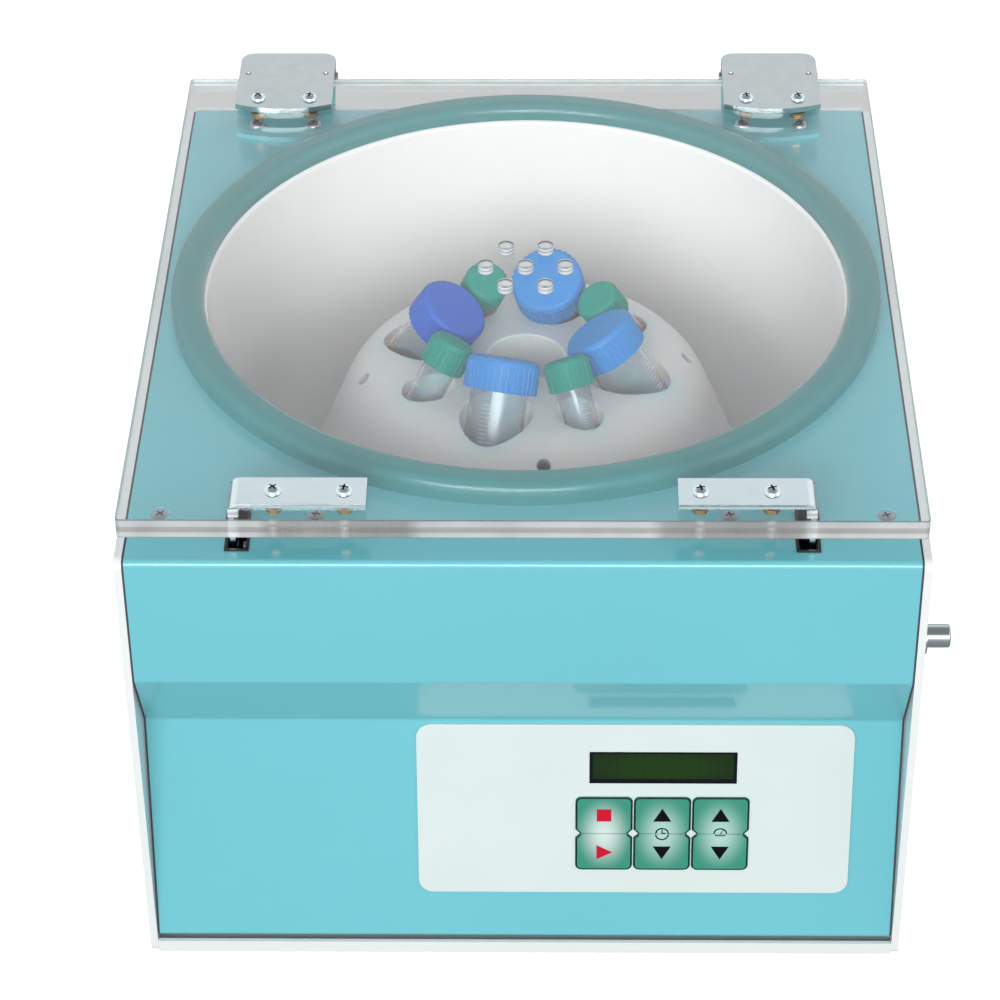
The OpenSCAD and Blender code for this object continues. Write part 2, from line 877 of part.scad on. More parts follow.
// The arm from the leaf up to the knuckle in (y, z)
module hinge_arm() {
    foot = [pivot_y - (pivot_z - body_h), body_h];
    side = arm_half * [-sqrt(0.5), sqrt(0.5)];
    polygon([foot + side + [1.7, 1.7], [pivot_y, pivot_z] + side,
             [pivot_y, pivot_z] - side, foot - side + [1.7, 1.7]]);
}

module left_hinge_base() {
    seat() color(CHROME) hinge_base(-1);
}

module right_hinge_base() {
    seat() color(CHROME) hinge_base(1);
}

module hinge_pins() {
    seat() color(CHROME) both_sides(hinge_x)
        translate([0, pivot_y, pivot_z]) rotate([0, 90, 0]) {
            cylinder(r = hinge_pin_r, h = hinge_w, center = true);
            for (end = [-1, 1]) translate([0, 0, end * (hinge_w / 2 + 0.5)])
                cylinder(r = 3, h = 1, center = true);
        }
}

// Control panel

fascia_t = 1;
key_top = 1.6;
key_back = -1.8;
key_notch = 2.2;
key_split = 0.3;
key_gap = 0.25;

// One key of a pad in (x, s), from the pad's middle line up. The side that
// meets the other key starts at foot and is notched at both ends.
module key_outline(grow, foot) {
    w = key_w / 2 + grow;
    top = pad_len / 2 + grow;
    notch = key_notch + foot;
    polygon(rounded([[-w, top], [w, top], [w, notch],
                     [w - key_notch, foot], [-w + key_notch, foot],
                     [-w, notch]],
                    [2.7, 2.7, 0, 0, 0, 0]));
}

// column is -1, 0 or 1 and row is 1 for the upper key
module at_key(column, row) {
    translate([display_x + column * pad_pitch, pad_s, 0])
        mirror([0, row < 0 ? 1 : 0, 0]) children();
}

module key(column, row) {
    seat() color(GREEN) on_lower_face() at_key(column, row)
        translate([0, 0, key_back]) linear_extrude(key_top - key_back)
            key_outline(0, key_split / 2);
}

module key_stop() { key(-1, 1); }
module key_start() { key(-1, -1); }
module key_time_up() { key(0, 1); }
module key_time_down() { key(0, -1); }
module key_speed_up() { key(1, 1); }
module key_speed_down() { key(1, -1); }

module fascia_plate() {
    seat() color(WHITE) on_lower_face() difference() {
        translate([fascia_x, fascia_s, 0])
            rounded_plate(fascia_w, fascia_len, 7, fascia_t);
        translate([display_x, display_s, -cut])
            linear_extrude(fascia_t + 2 * cut)
                square([display_w, display_h], center = true);
        for (column = [-1:1], row = [-1, 1]) at_key(column, row)
            translate([0, 0, -cut]) linear_extrude(fascia_t + 2 * cut)
                key_outline(key_gap, 0);
    }
}

module display_window() {
    seat() color([0.17, 0.25, 0.13]) on_lower_face()
        translate([display_x, display_s, -1])
            linear_extrude(1.8)
                square([display_w - 0.1, display_h - 0.1], center = true);
}

board_back = -14;
board_t = 1.6;
module display_module() {
    seat() on_lower_face() translate([display_x, display_s, 0]) {
        color([0.1, 0.3, 0.2]) translate([-36, -9, -9 - board_t])
            cube([72, 18, board_t]);
        color(BLACK) difference() {
            translate([-35.5, -8.8, -9]) cube([71, 17.6, 7.8]);
            translate([-33, -7, -3]) cube([66, 14, 3]);
        }
    }
}

// The soft mat that the keys rest on, with a dome under each key
module key_mat() {
    seat() color([0.6, 0.6, 0.58]) on_lower_face() {
        translate([display_x, pad_s, board_back + board_t])
            linear_extrude(-board_back - board_t - 5.6)
                square([keypad_w - 2, pad_len], center = true);
        for (column = [-1:1], row = [-1, 1]) at_key(column, row)
            translate([0, pad_len / 4, -5.7])
                cylinder(r1 = 6, r2 = 4, h = 5.7 + key_back - key_travel
                                             - free);
    }
}

control_board_w = 112;
control_board_h = 66;
control_board_s = 30;
module control_board() {
    seat() color([0.1, 0.35, 0.2]) on_lower_face()
        translate([display_x, control_board_s, board_back]) {
            translate([-control_board_w / 2, 0, 0])
                cube([control_board_w, control_board_h, board_t]);
            for (x = [6 - control_board_w / 2, control_board_w / 2 - 6],
                 s = [6, control_board_h - 5])
                translate([x, s, board_t]) difference() {
                    cylinder(r = 3, h = -board_back - board_t - sheet_t);
                    cylinder(r = 1.4, h = 8);
                }
            for (x = [-40:20:40]) translate([x, 22, -5]) cube([9, 14, 5]);
        }
}

power_board_w = 96;
power_board_d = 78;
power_board_z = 12;
power_board_x = 6 + tray_t - panel_in;
power_board_y = body_d - 22 - power_board_d;
// The board on its pillars, with a transformer, three capacitors and a heat sink
module power_board() {
    top = power_board_z + board_t;
    seat() translate([power_board_x, power_board_y, 0]) {
        color([0.1, 0.35, 0.2]) translate([0, 0, power_board_z])
            cube([power_board_w, power_board_d, board_t]);
        color(CHROME) for (x = [6, power_board_w - 6],
                           y = [6, power_board_d - 6])
            translate([x, y, tray_t])
                cylinder(r = 3, h = power_board_z - tray_t);
        color(BRASS) translate([8, 18, top]) cube([42, 46, 36]);
        color(BLACK) for (i = [0:2])
            translate([power_board_w - 28, 14 + 22 * i, top])
                cylinder(r = 8, h = 26);
        color(CHROME) translate([power_board_w - 14, 13, top])
            cube([4, 50, 30]);
    }
}

// Drive

plate_t = 4;
mount_h = 20;
plate_z = bowl_floor - 28;
motor_nose_z = plate_z + plate_t + 2;
motor_nose_r = 21;
mount_spread = 60;
shaft_r = 5;
motor_r = 45;
motor_plate_w = 150;
module at_mounts() {
    at_axis() for (x = [-1, 1], y = [-1, 1])
        translate([x * mount_spread, y * mount_spread, 0]) children();
}

module motor() {
    seat() color([0.3, 0.32, 0.34]) at_axis() difference() {
        union() {
            translate([0, 0, 12]) cylinder(r = motor_r - 6, h = 8);
            translate([0, 0, 20]) cylinder(r = motor_r, h = plate_z - 20);
            translate([0, 0, plate_z])
                cylinder(r = motor_nose_r, h = motor_nose_z - plate_z);
        }
        translate([0, 0, 15]) cylinder(r = shaft_r + running, h = 80);
        for (a = [0:20:340]) rotate([0, 0, a])
            translate([motor_r - 1.5, -1.5, 26]) cube([4, 3, 38]);
    }
}

module motor_plate() {
    seat() color(CHROME) difference() {
        at_axis() translate([0, 0, plate_z])
            rounded_plate(motor_plate_w, motor_plate_w, 12, plate_t);
        at_axis() translate([0, 0, plate_z - cut])
            cylinder(r = motor_nose_r + 0.1, h = plate_t + 2 * cut);
        at_mounts() translate([0, 0, plate_z - cut])
            cylinder(r = 3.1, h = plate_t + 2 * cut);
    }
}

module motor_mounts() {
    seat() color(BLACK) at_mounts() translate([0, 0, plate_z - mount_h])
        rotate_extrude() polygon([[3.1, 0], [11, 0], [11, mount_h / 4],
                                  [8.5, mount_h / 2], [11, mount_h * 3 / 4],
                                  [11, mount_h], [3.1, mount_h]]);
}

module motor_posts() {
    seat() color(CHROME) at_mounts() {
        translate([0, 0, tray_t])
            cylinder(r = 8, h = plate_z - mount_h - tray_t);
        translate([0, 0, plate_z - mount_h])
            cylinder(r = 3, h = mount_h + plate_t + 5);
        translate([0, 0, plate_z + plate_t])
            cylinder(r = 5.6, h = 4, $fn = 6);
    }
}

rotor_drop = 128;
well_drop = 76;
rotor_seat = body_h - rotor_drop;
well_floor = body_h - well_drop;
shaft_foot = 18;
nut_h = 12;
module motor_shaft() {
    seat() color(CHROME) at_axis() {
        translate([0, 0, shaft_foot])
            cylinder(r = shaft_r, h = well_floor + nut_h - shaft_foot);
        translate([0, 0, well_floor + nut_h])
            cylinder(r1 = shaft_r, r2 = shaft_r - 1, h = 1);
    }
}

module drive_hub() {
    seat() color(CHROME) at_axis() difference() {
        union() {
            translate([0, 0, motor_nose_z + 2])
                cylinder(r = 12, h = rotor_seat - motor_nose_z - 2);
            translate([0, 0, rotor_seat - 6]) cylinder(r = 26, h = 6);
        }
        translate([0, 0, motor_nose_z])
            cylinder(r = shaft_r + 0.01, h = 60);
    }
}

module rotor_nut() {
    seat() color(CHROME) at_axis() difference() {
        union() {
            translate([0, 0, well_floor]) cylinder(r = 13, h = 3);
            translate([0, 0, well_floor + 3])
                cylinder(r = 9, h = nut_h - 3, $fn = 6);
        }
        translate([0, 0, well_floor - cut])
            cylinder(r = shaft_r + 0.01, h = 20);
    }
}

// Rotor

tube_z = body_h - 23;
large_place_r = 40;
small_place_r = 43;
// Azimuths, clockwise from the rear as seen from above
large_turns = [for (i = [0:3]) 16 + 90 * i];
small_turns = [for (i = [0:3]) 61 + 90 * i];
screw_turns = [for (i = [0:3]) 83.5 + 90 * i];

rotor_top = body_h - 39.5;
rotor_base = rotor_seat + 6;
rotor_base_r = 116;
rotor_shoulder_r = 33;
rotor_lean = 22;
well_r = 19;

// Outline of the solid dome in (r, z)
rotor_outline =
    rounded([[shaft_r + 0.01, rotor_seat], [32, rotor_seat],
             [32, rotor_base - 2], [rotor_base_r, rotor_base - 2],
             [rotor_base_r, rotor_base],
             [rotor_base_r - (rotor_top - rotor_base) * tan(rotor_lean),
              rotor_top],
             [well_r, rotor_top], [well_r, well_floor],
             [shaft_r + 0.01, well_floor]],
            [0, 0, 0, 1, 0, rotor_shoulder_r, 1, 0, 0], 8);

// Stands z along a tube, from the middle of its cap, top upward
module at_tube(turn, place_r) {
    rotate([0, 0, -turn]) translate([0, place_r, tube_z])
        rotate([tube_tilt, 0, 0]) children();
}

// A tube's outside: a straight barrel and a cone at its foot
module tube_solid(r, length, top, cone, tip_r, grow) {
    translate([0, 0, top - length])
        cylinder(r1 = tip_r + grow, r2 = r + grow, h = cone);
    translate([0, 0, top - length + cone])
        cylinder(r = r + grow, h = length - cone);
}

large_top = 5;
small_top = 4.5;
large_cone = 15;
small_cone = 22;
tube_wall = 1.4;
pocket_gap = 0.4;
large_mouth_r = large_tube_d / 2 + 3.5;
small_mouth_r = small_tube_d / 2 + 3;

module large_tube_outside(grow) {
    tube_solid(large_tube_d / 2, large_tube_len, large_top, large_cone, 4,
               grow);
}

module small_tube_outside(grow) {
    tube_solid(small_tube_d / 2, small_tube_len, small_top, small_cone, 3,
               grow);
}

module rotor() {
    seat() color(WHITE) at_axis() difference() {
        rotate_extrude($fn = 180) polygon(rotor_outline);
        for (turn = large_turns) at_tube(turn, large_place_r) {
            large_tube_outside(pocket_gap);
            translate([0, 0, large_top - 1])
                cylinder(r = large_tube_d / 2 + pocket_gap, h = 40);
            translate([0, 0, -42]) cylinder(r = large_mouth_r, h = 90);
        }
        for (turn = small_turns) at_tube(turn, small_place_r) {
            small_tube_outside(pocket_gap);
            translate([0, 0, small_top - 1])
                cylinder(r = small_tube_d / 2 + pocket_gap, h = 40);
            translate([0, 0, -36]) cylinder(r = small_mouth_r, h = 80);
        }
        for (turn = screw_turns) at_rotor_screw(turn)
            cylinder(r = 3.4, h = 30, center = true);
    }
}

// Stands z along a rotor screw, out of the dome's shoulder
screw_place_r = 76;
screw_place_z = rotor_top - 14;
module at_rotor_screw(turn) {
    rotate([0, 0, -turn]) translate([0, screw_place_r, screw_place_z])
        rotate([-34, 0, 0]) translate([0, 0, 13]) children();
}

module rotor_screws() {
    seat() color([0.35, 0.36, 0.37]) at_axis() for (turn = screw_turns)
        at_rotor_screw(turn) translate([0, 0, -15]) difference() {
            cylinder(r = 3.3, h = 5);
            translate([0, 0, 2.5]) cylinder(r = 1.7, h = 5, $fn = 6);
        }
}

module hollow_tube(r, length, top, cone, tip_r) {
    difference() {
        tube_solid(r, length, top, cone, tip_r, 0);
        translate([0, 0, tube_wall * 1.2])
            tube_solid(r, length, top, cone, tip_r, -tube_wall);
        translate([0, 0, top - 3]) cylinder(r = r - tube_wall, h = 6);
    }
}

module large_tubes() {
    seat() color(CLEAR) at_axis() for (turn = large_turns)
        at_tube(turn, large_place_r)
            hollow_tube(large_tube_d / 2, large_tube_len, large_top,
                        large_cone, 4);
}

module small_tubes() {
    seat() color(CLEAR) at_axis() for (turn = small_turns)
        at_tube(turn, small_place_r)
            hollow_tube(small_tube_d / 2, small_tube_len, small_top,
                        small_cone, 3);
}

// Outline of a round with ribs round it, r over the ribs
rib_depth = 0.5;
function ribbed_round(r, ribs) =
    [for (i = [0:ribs - 1], p = [[0, 0], [0.5, 0], [0.6, 1], [0.9, 1]])
        let (a = 360 * (i + p.x) / ribs)
        (r - p.y * rib_depth) * [cos(a), sin(a)]];

// A ribbed skirt for the fingers under a top with a rounded shoulder
cap_shoulder = 2.5;
module screw_cap(cap_r, tube_r, top, cap_h, ribs) {
    crown_r = cap_r - rib_depth - 0.1;
    difference() {
        union() {
            translate([0, 0, -cap_h / 2])
                linear_extrude(cap_h - cap_shoulder)
                    polygon(ribbed_round(cap_r, ribs));
            rotate_extrude()
                polygon(rounded([[0, 0], [crown_r, 0],
                                 [crown_r, cap_h / 2], [0, cap_h / 2]],
                                [0, 0, cap_shoulder, 0], 6));
        }
        translate([0, 0, -cap_h / 2 - cut])
            cylinder(r = tube_r + 0.05, h = top + cap_h / 2 + cut + 0.05);
    }
}

module large_caps() {
    seat() color(BLUE) at_axis() for (turn = large_turns)
        at_tube(turn, large_place_r)
            screw_cap(large_cap_d / 2, large_tube_d / 2, large_top, 15.6,
                      36);
}

module small_caps() {
    seat() color(GREEN) at_axis() for (turn = small_turns)
        at_tube(turn, small_place_r)
            screw_cap(small_cap_d / 2, small_tube_d / 2, small_top, 14.4,
                      24);
}

base_tray();
left_side_panel();
right_side_panel();
body_shell();
rear_panel();
side_gaskets();
chamber_bowl();
rim_ring();
top_screws();
side_screws();
rear_screws();
feet();
foot_screws();
mains_inlet();
switch_frame();
fuse_holder();
power_board();
control_board();
display_module();
display_window();
fascia_plate();
key_mat();
left_lock_socket();
right_lock_socket();
plunger_bushing();
bar_guides();
motor();
motor_plate();
motor_mounts();
motor_posts();
left_hinge_base();
right_hinge_base();
hinge_base_screws();
hinge_pins();
lid();
left_hinge_plate();
right_hinge_plate();
hinge_plate_screws();
left_lock_bracket();
right_lock_bracket();
bracket_screws();
lid_nuts();
lock_bar();
lock_plunger();
rotor();
drive_hub();
motor_shaft();
rotor_nut();
rotor_screws();
large_tubes();
large_caps();
small_tubes();
small_caps();
key_stop();
key_start();
key_time_up();
key_time_down();
key_speed_up();
key_speed_down();
rocker_switch();
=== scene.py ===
"""The looks of a bench butterfat centrifuge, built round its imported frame, in metres with +Z up."""

import json
import logging
import math
from collections.abc import Callable, Sequence
from dataclasses import dataclass
from enum import Enum
from functools import cache

import bmesh
import bpy
from mathutils import Matrix, Vector

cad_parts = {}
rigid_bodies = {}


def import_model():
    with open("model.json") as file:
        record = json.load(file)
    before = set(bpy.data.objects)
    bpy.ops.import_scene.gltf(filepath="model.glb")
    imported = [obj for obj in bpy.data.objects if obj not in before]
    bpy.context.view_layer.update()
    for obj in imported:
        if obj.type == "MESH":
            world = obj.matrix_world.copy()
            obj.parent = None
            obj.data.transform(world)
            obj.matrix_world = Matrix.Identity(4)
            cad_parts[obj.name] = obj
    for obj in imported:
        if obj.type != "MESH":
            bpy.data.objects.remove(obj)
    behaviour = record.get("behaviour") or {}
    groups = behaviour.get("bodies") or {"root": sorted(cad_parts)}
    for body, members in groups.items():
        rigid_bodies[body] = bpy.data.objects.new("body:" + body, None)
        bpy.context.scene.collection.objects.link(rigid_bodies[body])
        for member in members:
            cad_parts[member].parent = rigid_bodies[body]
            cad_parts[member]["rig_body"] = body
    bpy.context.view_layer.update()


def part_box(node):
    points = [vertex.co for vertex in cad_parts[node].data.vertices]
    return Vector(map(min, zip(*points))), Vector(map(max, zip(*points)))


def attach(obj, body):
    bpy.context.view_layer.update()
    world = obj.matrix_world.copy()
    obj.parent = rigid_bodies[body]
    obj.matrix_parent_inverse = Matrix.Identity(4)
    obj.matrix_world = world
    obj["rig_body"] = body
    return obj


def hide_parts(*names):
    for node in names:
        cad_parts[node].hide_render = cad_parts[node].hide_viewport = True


log = logging.getLogger("centrifuge")

MM = 0.001
ACROSS = Vector((1, 0, 0))
REARWARD = Vector((0, 1, 0))
UPWARD = Vector((0, 0, 1))

Tree = bpy.types.NodeTree
Socket = bpy.types.NodeSocket
Piece = bpy.types.Object
Face = bpy.types.MeshPolygon
Inputs = dict[str | int, object]
Pair = tuple[float, float]
Triple = tuple[float, float, float]
Outline = list[Pair]
Put = Callable[[Vector], Vector]
Pick = Callable[[Face], int]


# Node trees


def linear(code: str) -> tuple[float, float, float, float]:
    """Turns an sRGB hex code into the linear colour that shaders take.

    Args:
        code: A colour such as "#84D8E2".

    Returns:
        Red, green, blue and an alpha of 1.
    """
    parts = [int(code[i : i + 2], 16) / 255 for i in (1, 3, 5)]
    red, green, blue = (p / 12.92 if p <= 0.04045 else ((p + 0.055) / 1.055) ** 2.4 for p in parts)
    return red, green, blue, 1.0


class TreeBuilder:
    """A node tree while it is being built.

    Attributes:
        tree: The node tree.
    """

    def __init__(self, tree: Tree) -> None:
        """Starts with an empty tree."""
        self.tree = tree
        tree.nodes.clear()

    def add(
        self, kind: str, inputs: Inputs | None = None, take: str = "", **settings: object
    ) -> Socket | None:
        """Adds a node with its settings, values and links.

        Args:
            kind: The node's type name.
            inputs: For a socket's name or number, a value, the output that feeds it or a list
                of such outputs.
            take: The output that is wanted, where it isn't the first one in use.
            settings: Properties of the node itself.

        Returns:
            The wanted output.
        """
        node = self.tree.nodes.new(kind)
        for name, value in settings.items():
            setattr(node, name, value)
        for name, value in (inputs or {}).items():
            feeds = [value] if isinstance(value, Socket) else value
            if isinstance(feeds, list):
                for feed in feeds:
                    self.tree.links.new(feed, node.inputs[name])
            else:
                node.inputs[name].default_value = value
        if take:
            return node.outputs[take]
        return next((output for output in node.outputs if output.enabled), None)


class Shading(TreeBuilder):
    """The tree of a material or of the world, with the patterns that finishes share.

    Attributes:
        place: The coordinates that patterns are read from.
    """

    def __init__(self, owner: bpy.types.ID, coordinates: str = "Object") -> None:
        """Starts the tree.

        Args:
            owner: The material or the world that has the tree.
            coordinates: The kind of coordinates that it reads.
        """
        owner.use_nodes = True
        super().__init__(owner.node_tree)
        self.place = self.add("ShaderNodeTexCoord", take=coordinates)

    def part(self, vector: Socket, axis: str) -> Socket:
        """Takes one axis of a vector."""
        return self.add("ShaderNodeSeparateXYZ", {"Vector": vector}, take=axis)

    def blotches(self, size: float, stretch: Triple = (1.0, 1.0, 1.0)) -> Socket:
        """Gives soft noise from 0 to 1.

        Args:
            size: The width of a blotch in millimetres.
            stretch: How much finer the noise is along each axis.
        """
        turned = self.add("ShaderNodeMapping", {"Vector": self.place, "Scale": stretch})
        noise = {"Vector": turned, "Scale": 1 / (size * MM), "Detail": 3.0}
        return self.add("ShaderNodeTexNoise", noise)

    def mixed(self, factor: Socket, first: Socket | str, second: Socket | str) -> Socket:
        """Mixes two colours, each an output or an sRGB hex code, by a factor from 0 to 1."""
        one, two = (linear(c) if isinstance(c, str) else c for c in (first, second))
        return self.add("ShaderNodeMix", {0: factor, 6: one, 7: two}, data_type="RGBA")

    def ranged(
        self, value: Socket, target: Pair, source: Pair = (0.0, 1.0), eased: bool = False
    ) -> Socket:
        """Maps a value from one range to another.

        Args:
            value: The value.
            target: What it becomes at the ends of its range.
            source: Its range.
            eased: Whether it leaves and reaches the ends slowly.
        """
        ends = {"From Min": source[0], "From Max": source[1]}
        ends |= {"To Min": target[0], "To Max": target[1]}
        curve = "SMOOTHSTEP" if eased else "LINEAR"
        return self.add("ShaderNodeMapRange", {"Value": value} | ends, interpolation_type=curve)

    def ramp(self, factor: Socket, stops: Sequence[tuple[float, str]]) -> Socket:
        """Looks a factor up on a scale of sRGB hex colours, each with its place from 0 to 1."""
        colour = self.add("ShaderNodeValToRGB", {"Fac": factor})
        scale = colour.node.color_ramp.elements
        while len(scale) < len(stops):
            scale.new(0.5)
        for item, (place, code) in zip(scale, stops, strict=True):
            item.position = place
            item.color = linear(code)
        return colour

    def relief(self, height: Socket, depth: float, bite: float) -> Socket:
        """Turns a pattern into bumps, depth millimetres high, by a strength from 0 to 1."""
        bumps = {"Height": height, "Distance": depth * MM, "Strength": bite}
        return self.add("ShaderNodeBump", bumps)


# Finishes


@dataclass(frozen=True)
class Finish:
    """What a surface is made of, named as its maker would order it.

    Attributes:
        name: The material's name.
        slot: The record's slot for pieces in this finish; not used.
        colour: The usual colour, sRGB hex.
        deep: The colour that it drifts to, sRGB hex.
        roughness: How matt the surface is.
        patch: The width in millimetres of a patch a little off in shade and gloss.
        wear: The least and the greatest roughness, as shares of the usual one.
        grain: The width of its bumps in millimetres, or 0 for none.
        grain_depth: Their height in millimetres.
        bite: How strongly they turn the light.
        stretch: How much finer they are along each axis.
    """

    name: str
    slot: str
    colour: str
    deep: str
    roughness: float
    patch: float = 35.0
    wear: Pair = (1.0, 1.0)
    grain: float = 0.0
    grain_depth: float = 0.0
    bite: float = 0.5
    stretch: Triple = (1.0, 1.0, 1.0)

    def material(self) -> bpy.types.Material:
        """Gives the finish's material, which is made once."""
        made = bpy.data.materials.get(self.name)
        if made is None:
            made = bpy.data.materials.new(self.name)
            shading = Shading(made)
            shading.add("ShaderNodeOutputMaterial", {"Surface": self.shade(shading)})
        return made

    def shade(self, shading: Shading) -> Socket:
        """Builds the shader, which is one surface unless a finish mixes more."""
        return shading.add("ShaderNodeBsdfPrincipled", self.surface(shading))

    def surface(self, shading: Shading) -> Inputs:
        """Gives the surface's values and patterns."""
        patches = shading.blotches(self.patch)
        least, most = (self.roughness * share for share in self.wear)
        look: Inputs = {
            "Base Color": self.tone(shading, patches),
            "Roughness": most if least == most else shading.ranged(patches, (least, most)),
        }
        if self.grain:
            bumps = shading.blotches(self.grain, self.stretch)
            look["Normal"] = shading.relief(bumps, self.grain_depth, self.bite)
        return look

    def tone(self, shading: Shading, patches: Socket) -> Socket:
        """Gives the colour, which drifts from patch to patch."""
        return shading.mixed(patches, self.colour, self.deep)


@dataclass(frozen=True)
class SprayedEnamel(Finish):
    """Stoving enamel sprayed on sheet steel: glossy, with a faint orange peel.

    Attributes:
        drift: How far apart in millimetres two shades of a panel lie.
        coat: How much of a clear gloss lies over the colour.
    """

    patch: float = 14.0
    wear: Pair = (0.94, 1.08)
    grain: float = 1.4
    grain_depth: float = 0.006
    bite: float = 0.2
    drift: float = 120.0
    coat: float = 0.5

    def surface(self, shading: Shading) -> Inputs:
        """Lays a gloss coat over the enamel's own tone."""
        return super().surface(shading) | {"Coat Weight": self.coat, "Coat Roughness": 0.06}

    def tone(self, shading: Shading, patches: Socket) -> Socket:
        """Gives the colour, which drifts by a shade across a panel."""
        return shading.mixed(shading.blotches(self.drift), self.colour, self.deep)


@dataclass(frozen=True)
class BowlEnamelPaintedShade(SprayedEnamel):
    """Enamel inside a deep bowl, with painted shade that greys it toward the floor.

    Attributes:
        foot: The colour of the painted shade at the floor, sRGB hex.
        floor: The height of the floor in millimetres.
        rim: The height above which there is no painted shade.
    """

    foot: str = "#AFAFB1"
    floor: float = 60.0
    rim: float = 200.0

    def tone(self, shading: Shading, patches: Socket) -> Socket:
        """Gives the enamel's colour, and a greyer painted shade below."""
        # Painted shade: the colour greys from the rim height down to the floor height
        walls = (self.floor * MM, self.rim * MM)
        height = shading.part(shading.place, "Z")
        unshaded = shading.ranged(height, (0.0, 1.0), walls, eased=True)
        return shading.mixed(unshaded, self.foot, self.colour)


@dataclass(frozen=True)
class PlatedMetal(Finish):
    """Plated or bare metal: mirror-like when polished, streaked along the grain when brushed."""

    patch: float = 9.0
    wear: Pair = (0.7, 1.4)
    grain: float = 0.5
    grain_depth: float = 0.001

    def surface(self, shading: Shading) -> Inputs:
        """Makes the surface a metal."""
        return super().surface(shading) | {"Metallic": 1.0}


@dataclass(frozen=True)
class MouldedPlastic(Finish):
    """Injection-moulded plastic: its mould's fine spark texture, and light that sinks in a little.

    Attributes:
        soft: How much light sinks in.
        soft_depth: How far it goes, in millimetres.
        coat: How much of a clear gloss lies over it.
        shine: The strength of its highlights, where 0.5 is usual.
    """

    wear: Pair = (0.9, 1.15)
    grain: float = 0.5
    grain_depth: float = 0.01
    soft: float = 0.0
    soft_depth: float = 2.0
    coat: float = 0.0
    shine: float = 0.5

    def surface(self, shading: Shading) -> Inputs:
        """Adds the light that sinks in and the gloss."""
        return super().surface(shading) | {
            "Subsurface Weight": self.soft,
            "Subsurface Scale": self.soft_depth * MM,
            "Specular IOR Level": self.shine,
            "Coat Weight": self.coat,
            "Coat Roughness": 0.1,
        }


@dataclass(frozen=True)
class ClearPlastic(Finish):
    """Clear acrylic or polypropylene: bends light, and lets lamps through to what is behind it.

    Attributes:
        ior: How strongly it bends light.
    """

    patch: float = 22.0
    wear: Pair = (0.5, 1.5)
    grain: float = 30.0
    grain_depth: float = 0.004
    bite: float = 1.0
    ior: float = 1.49

    def surface(self, shading: Shading) -> Inputs:
        """Lets light through."""
        return super().surface(shading) | {"IOR": self.ior, "Transmission Weight": 1.0}

    def shade(self, shading: Shading) -> Socket:
        """Builds a glass for the eye, and a pale film for rays from lamps."""
        film = shading.add("ShaderNodeBsdfTransparent", {"Color": linear(self.colour)})
        from_lamp = shading.add("ShaderNodeLightPath", take="Is Shadow Ray")
        parts = {0: from_lamp, 1: super().shade(shading), 2: film}
        return shading.add("ShaderNodeMixShader", parts)


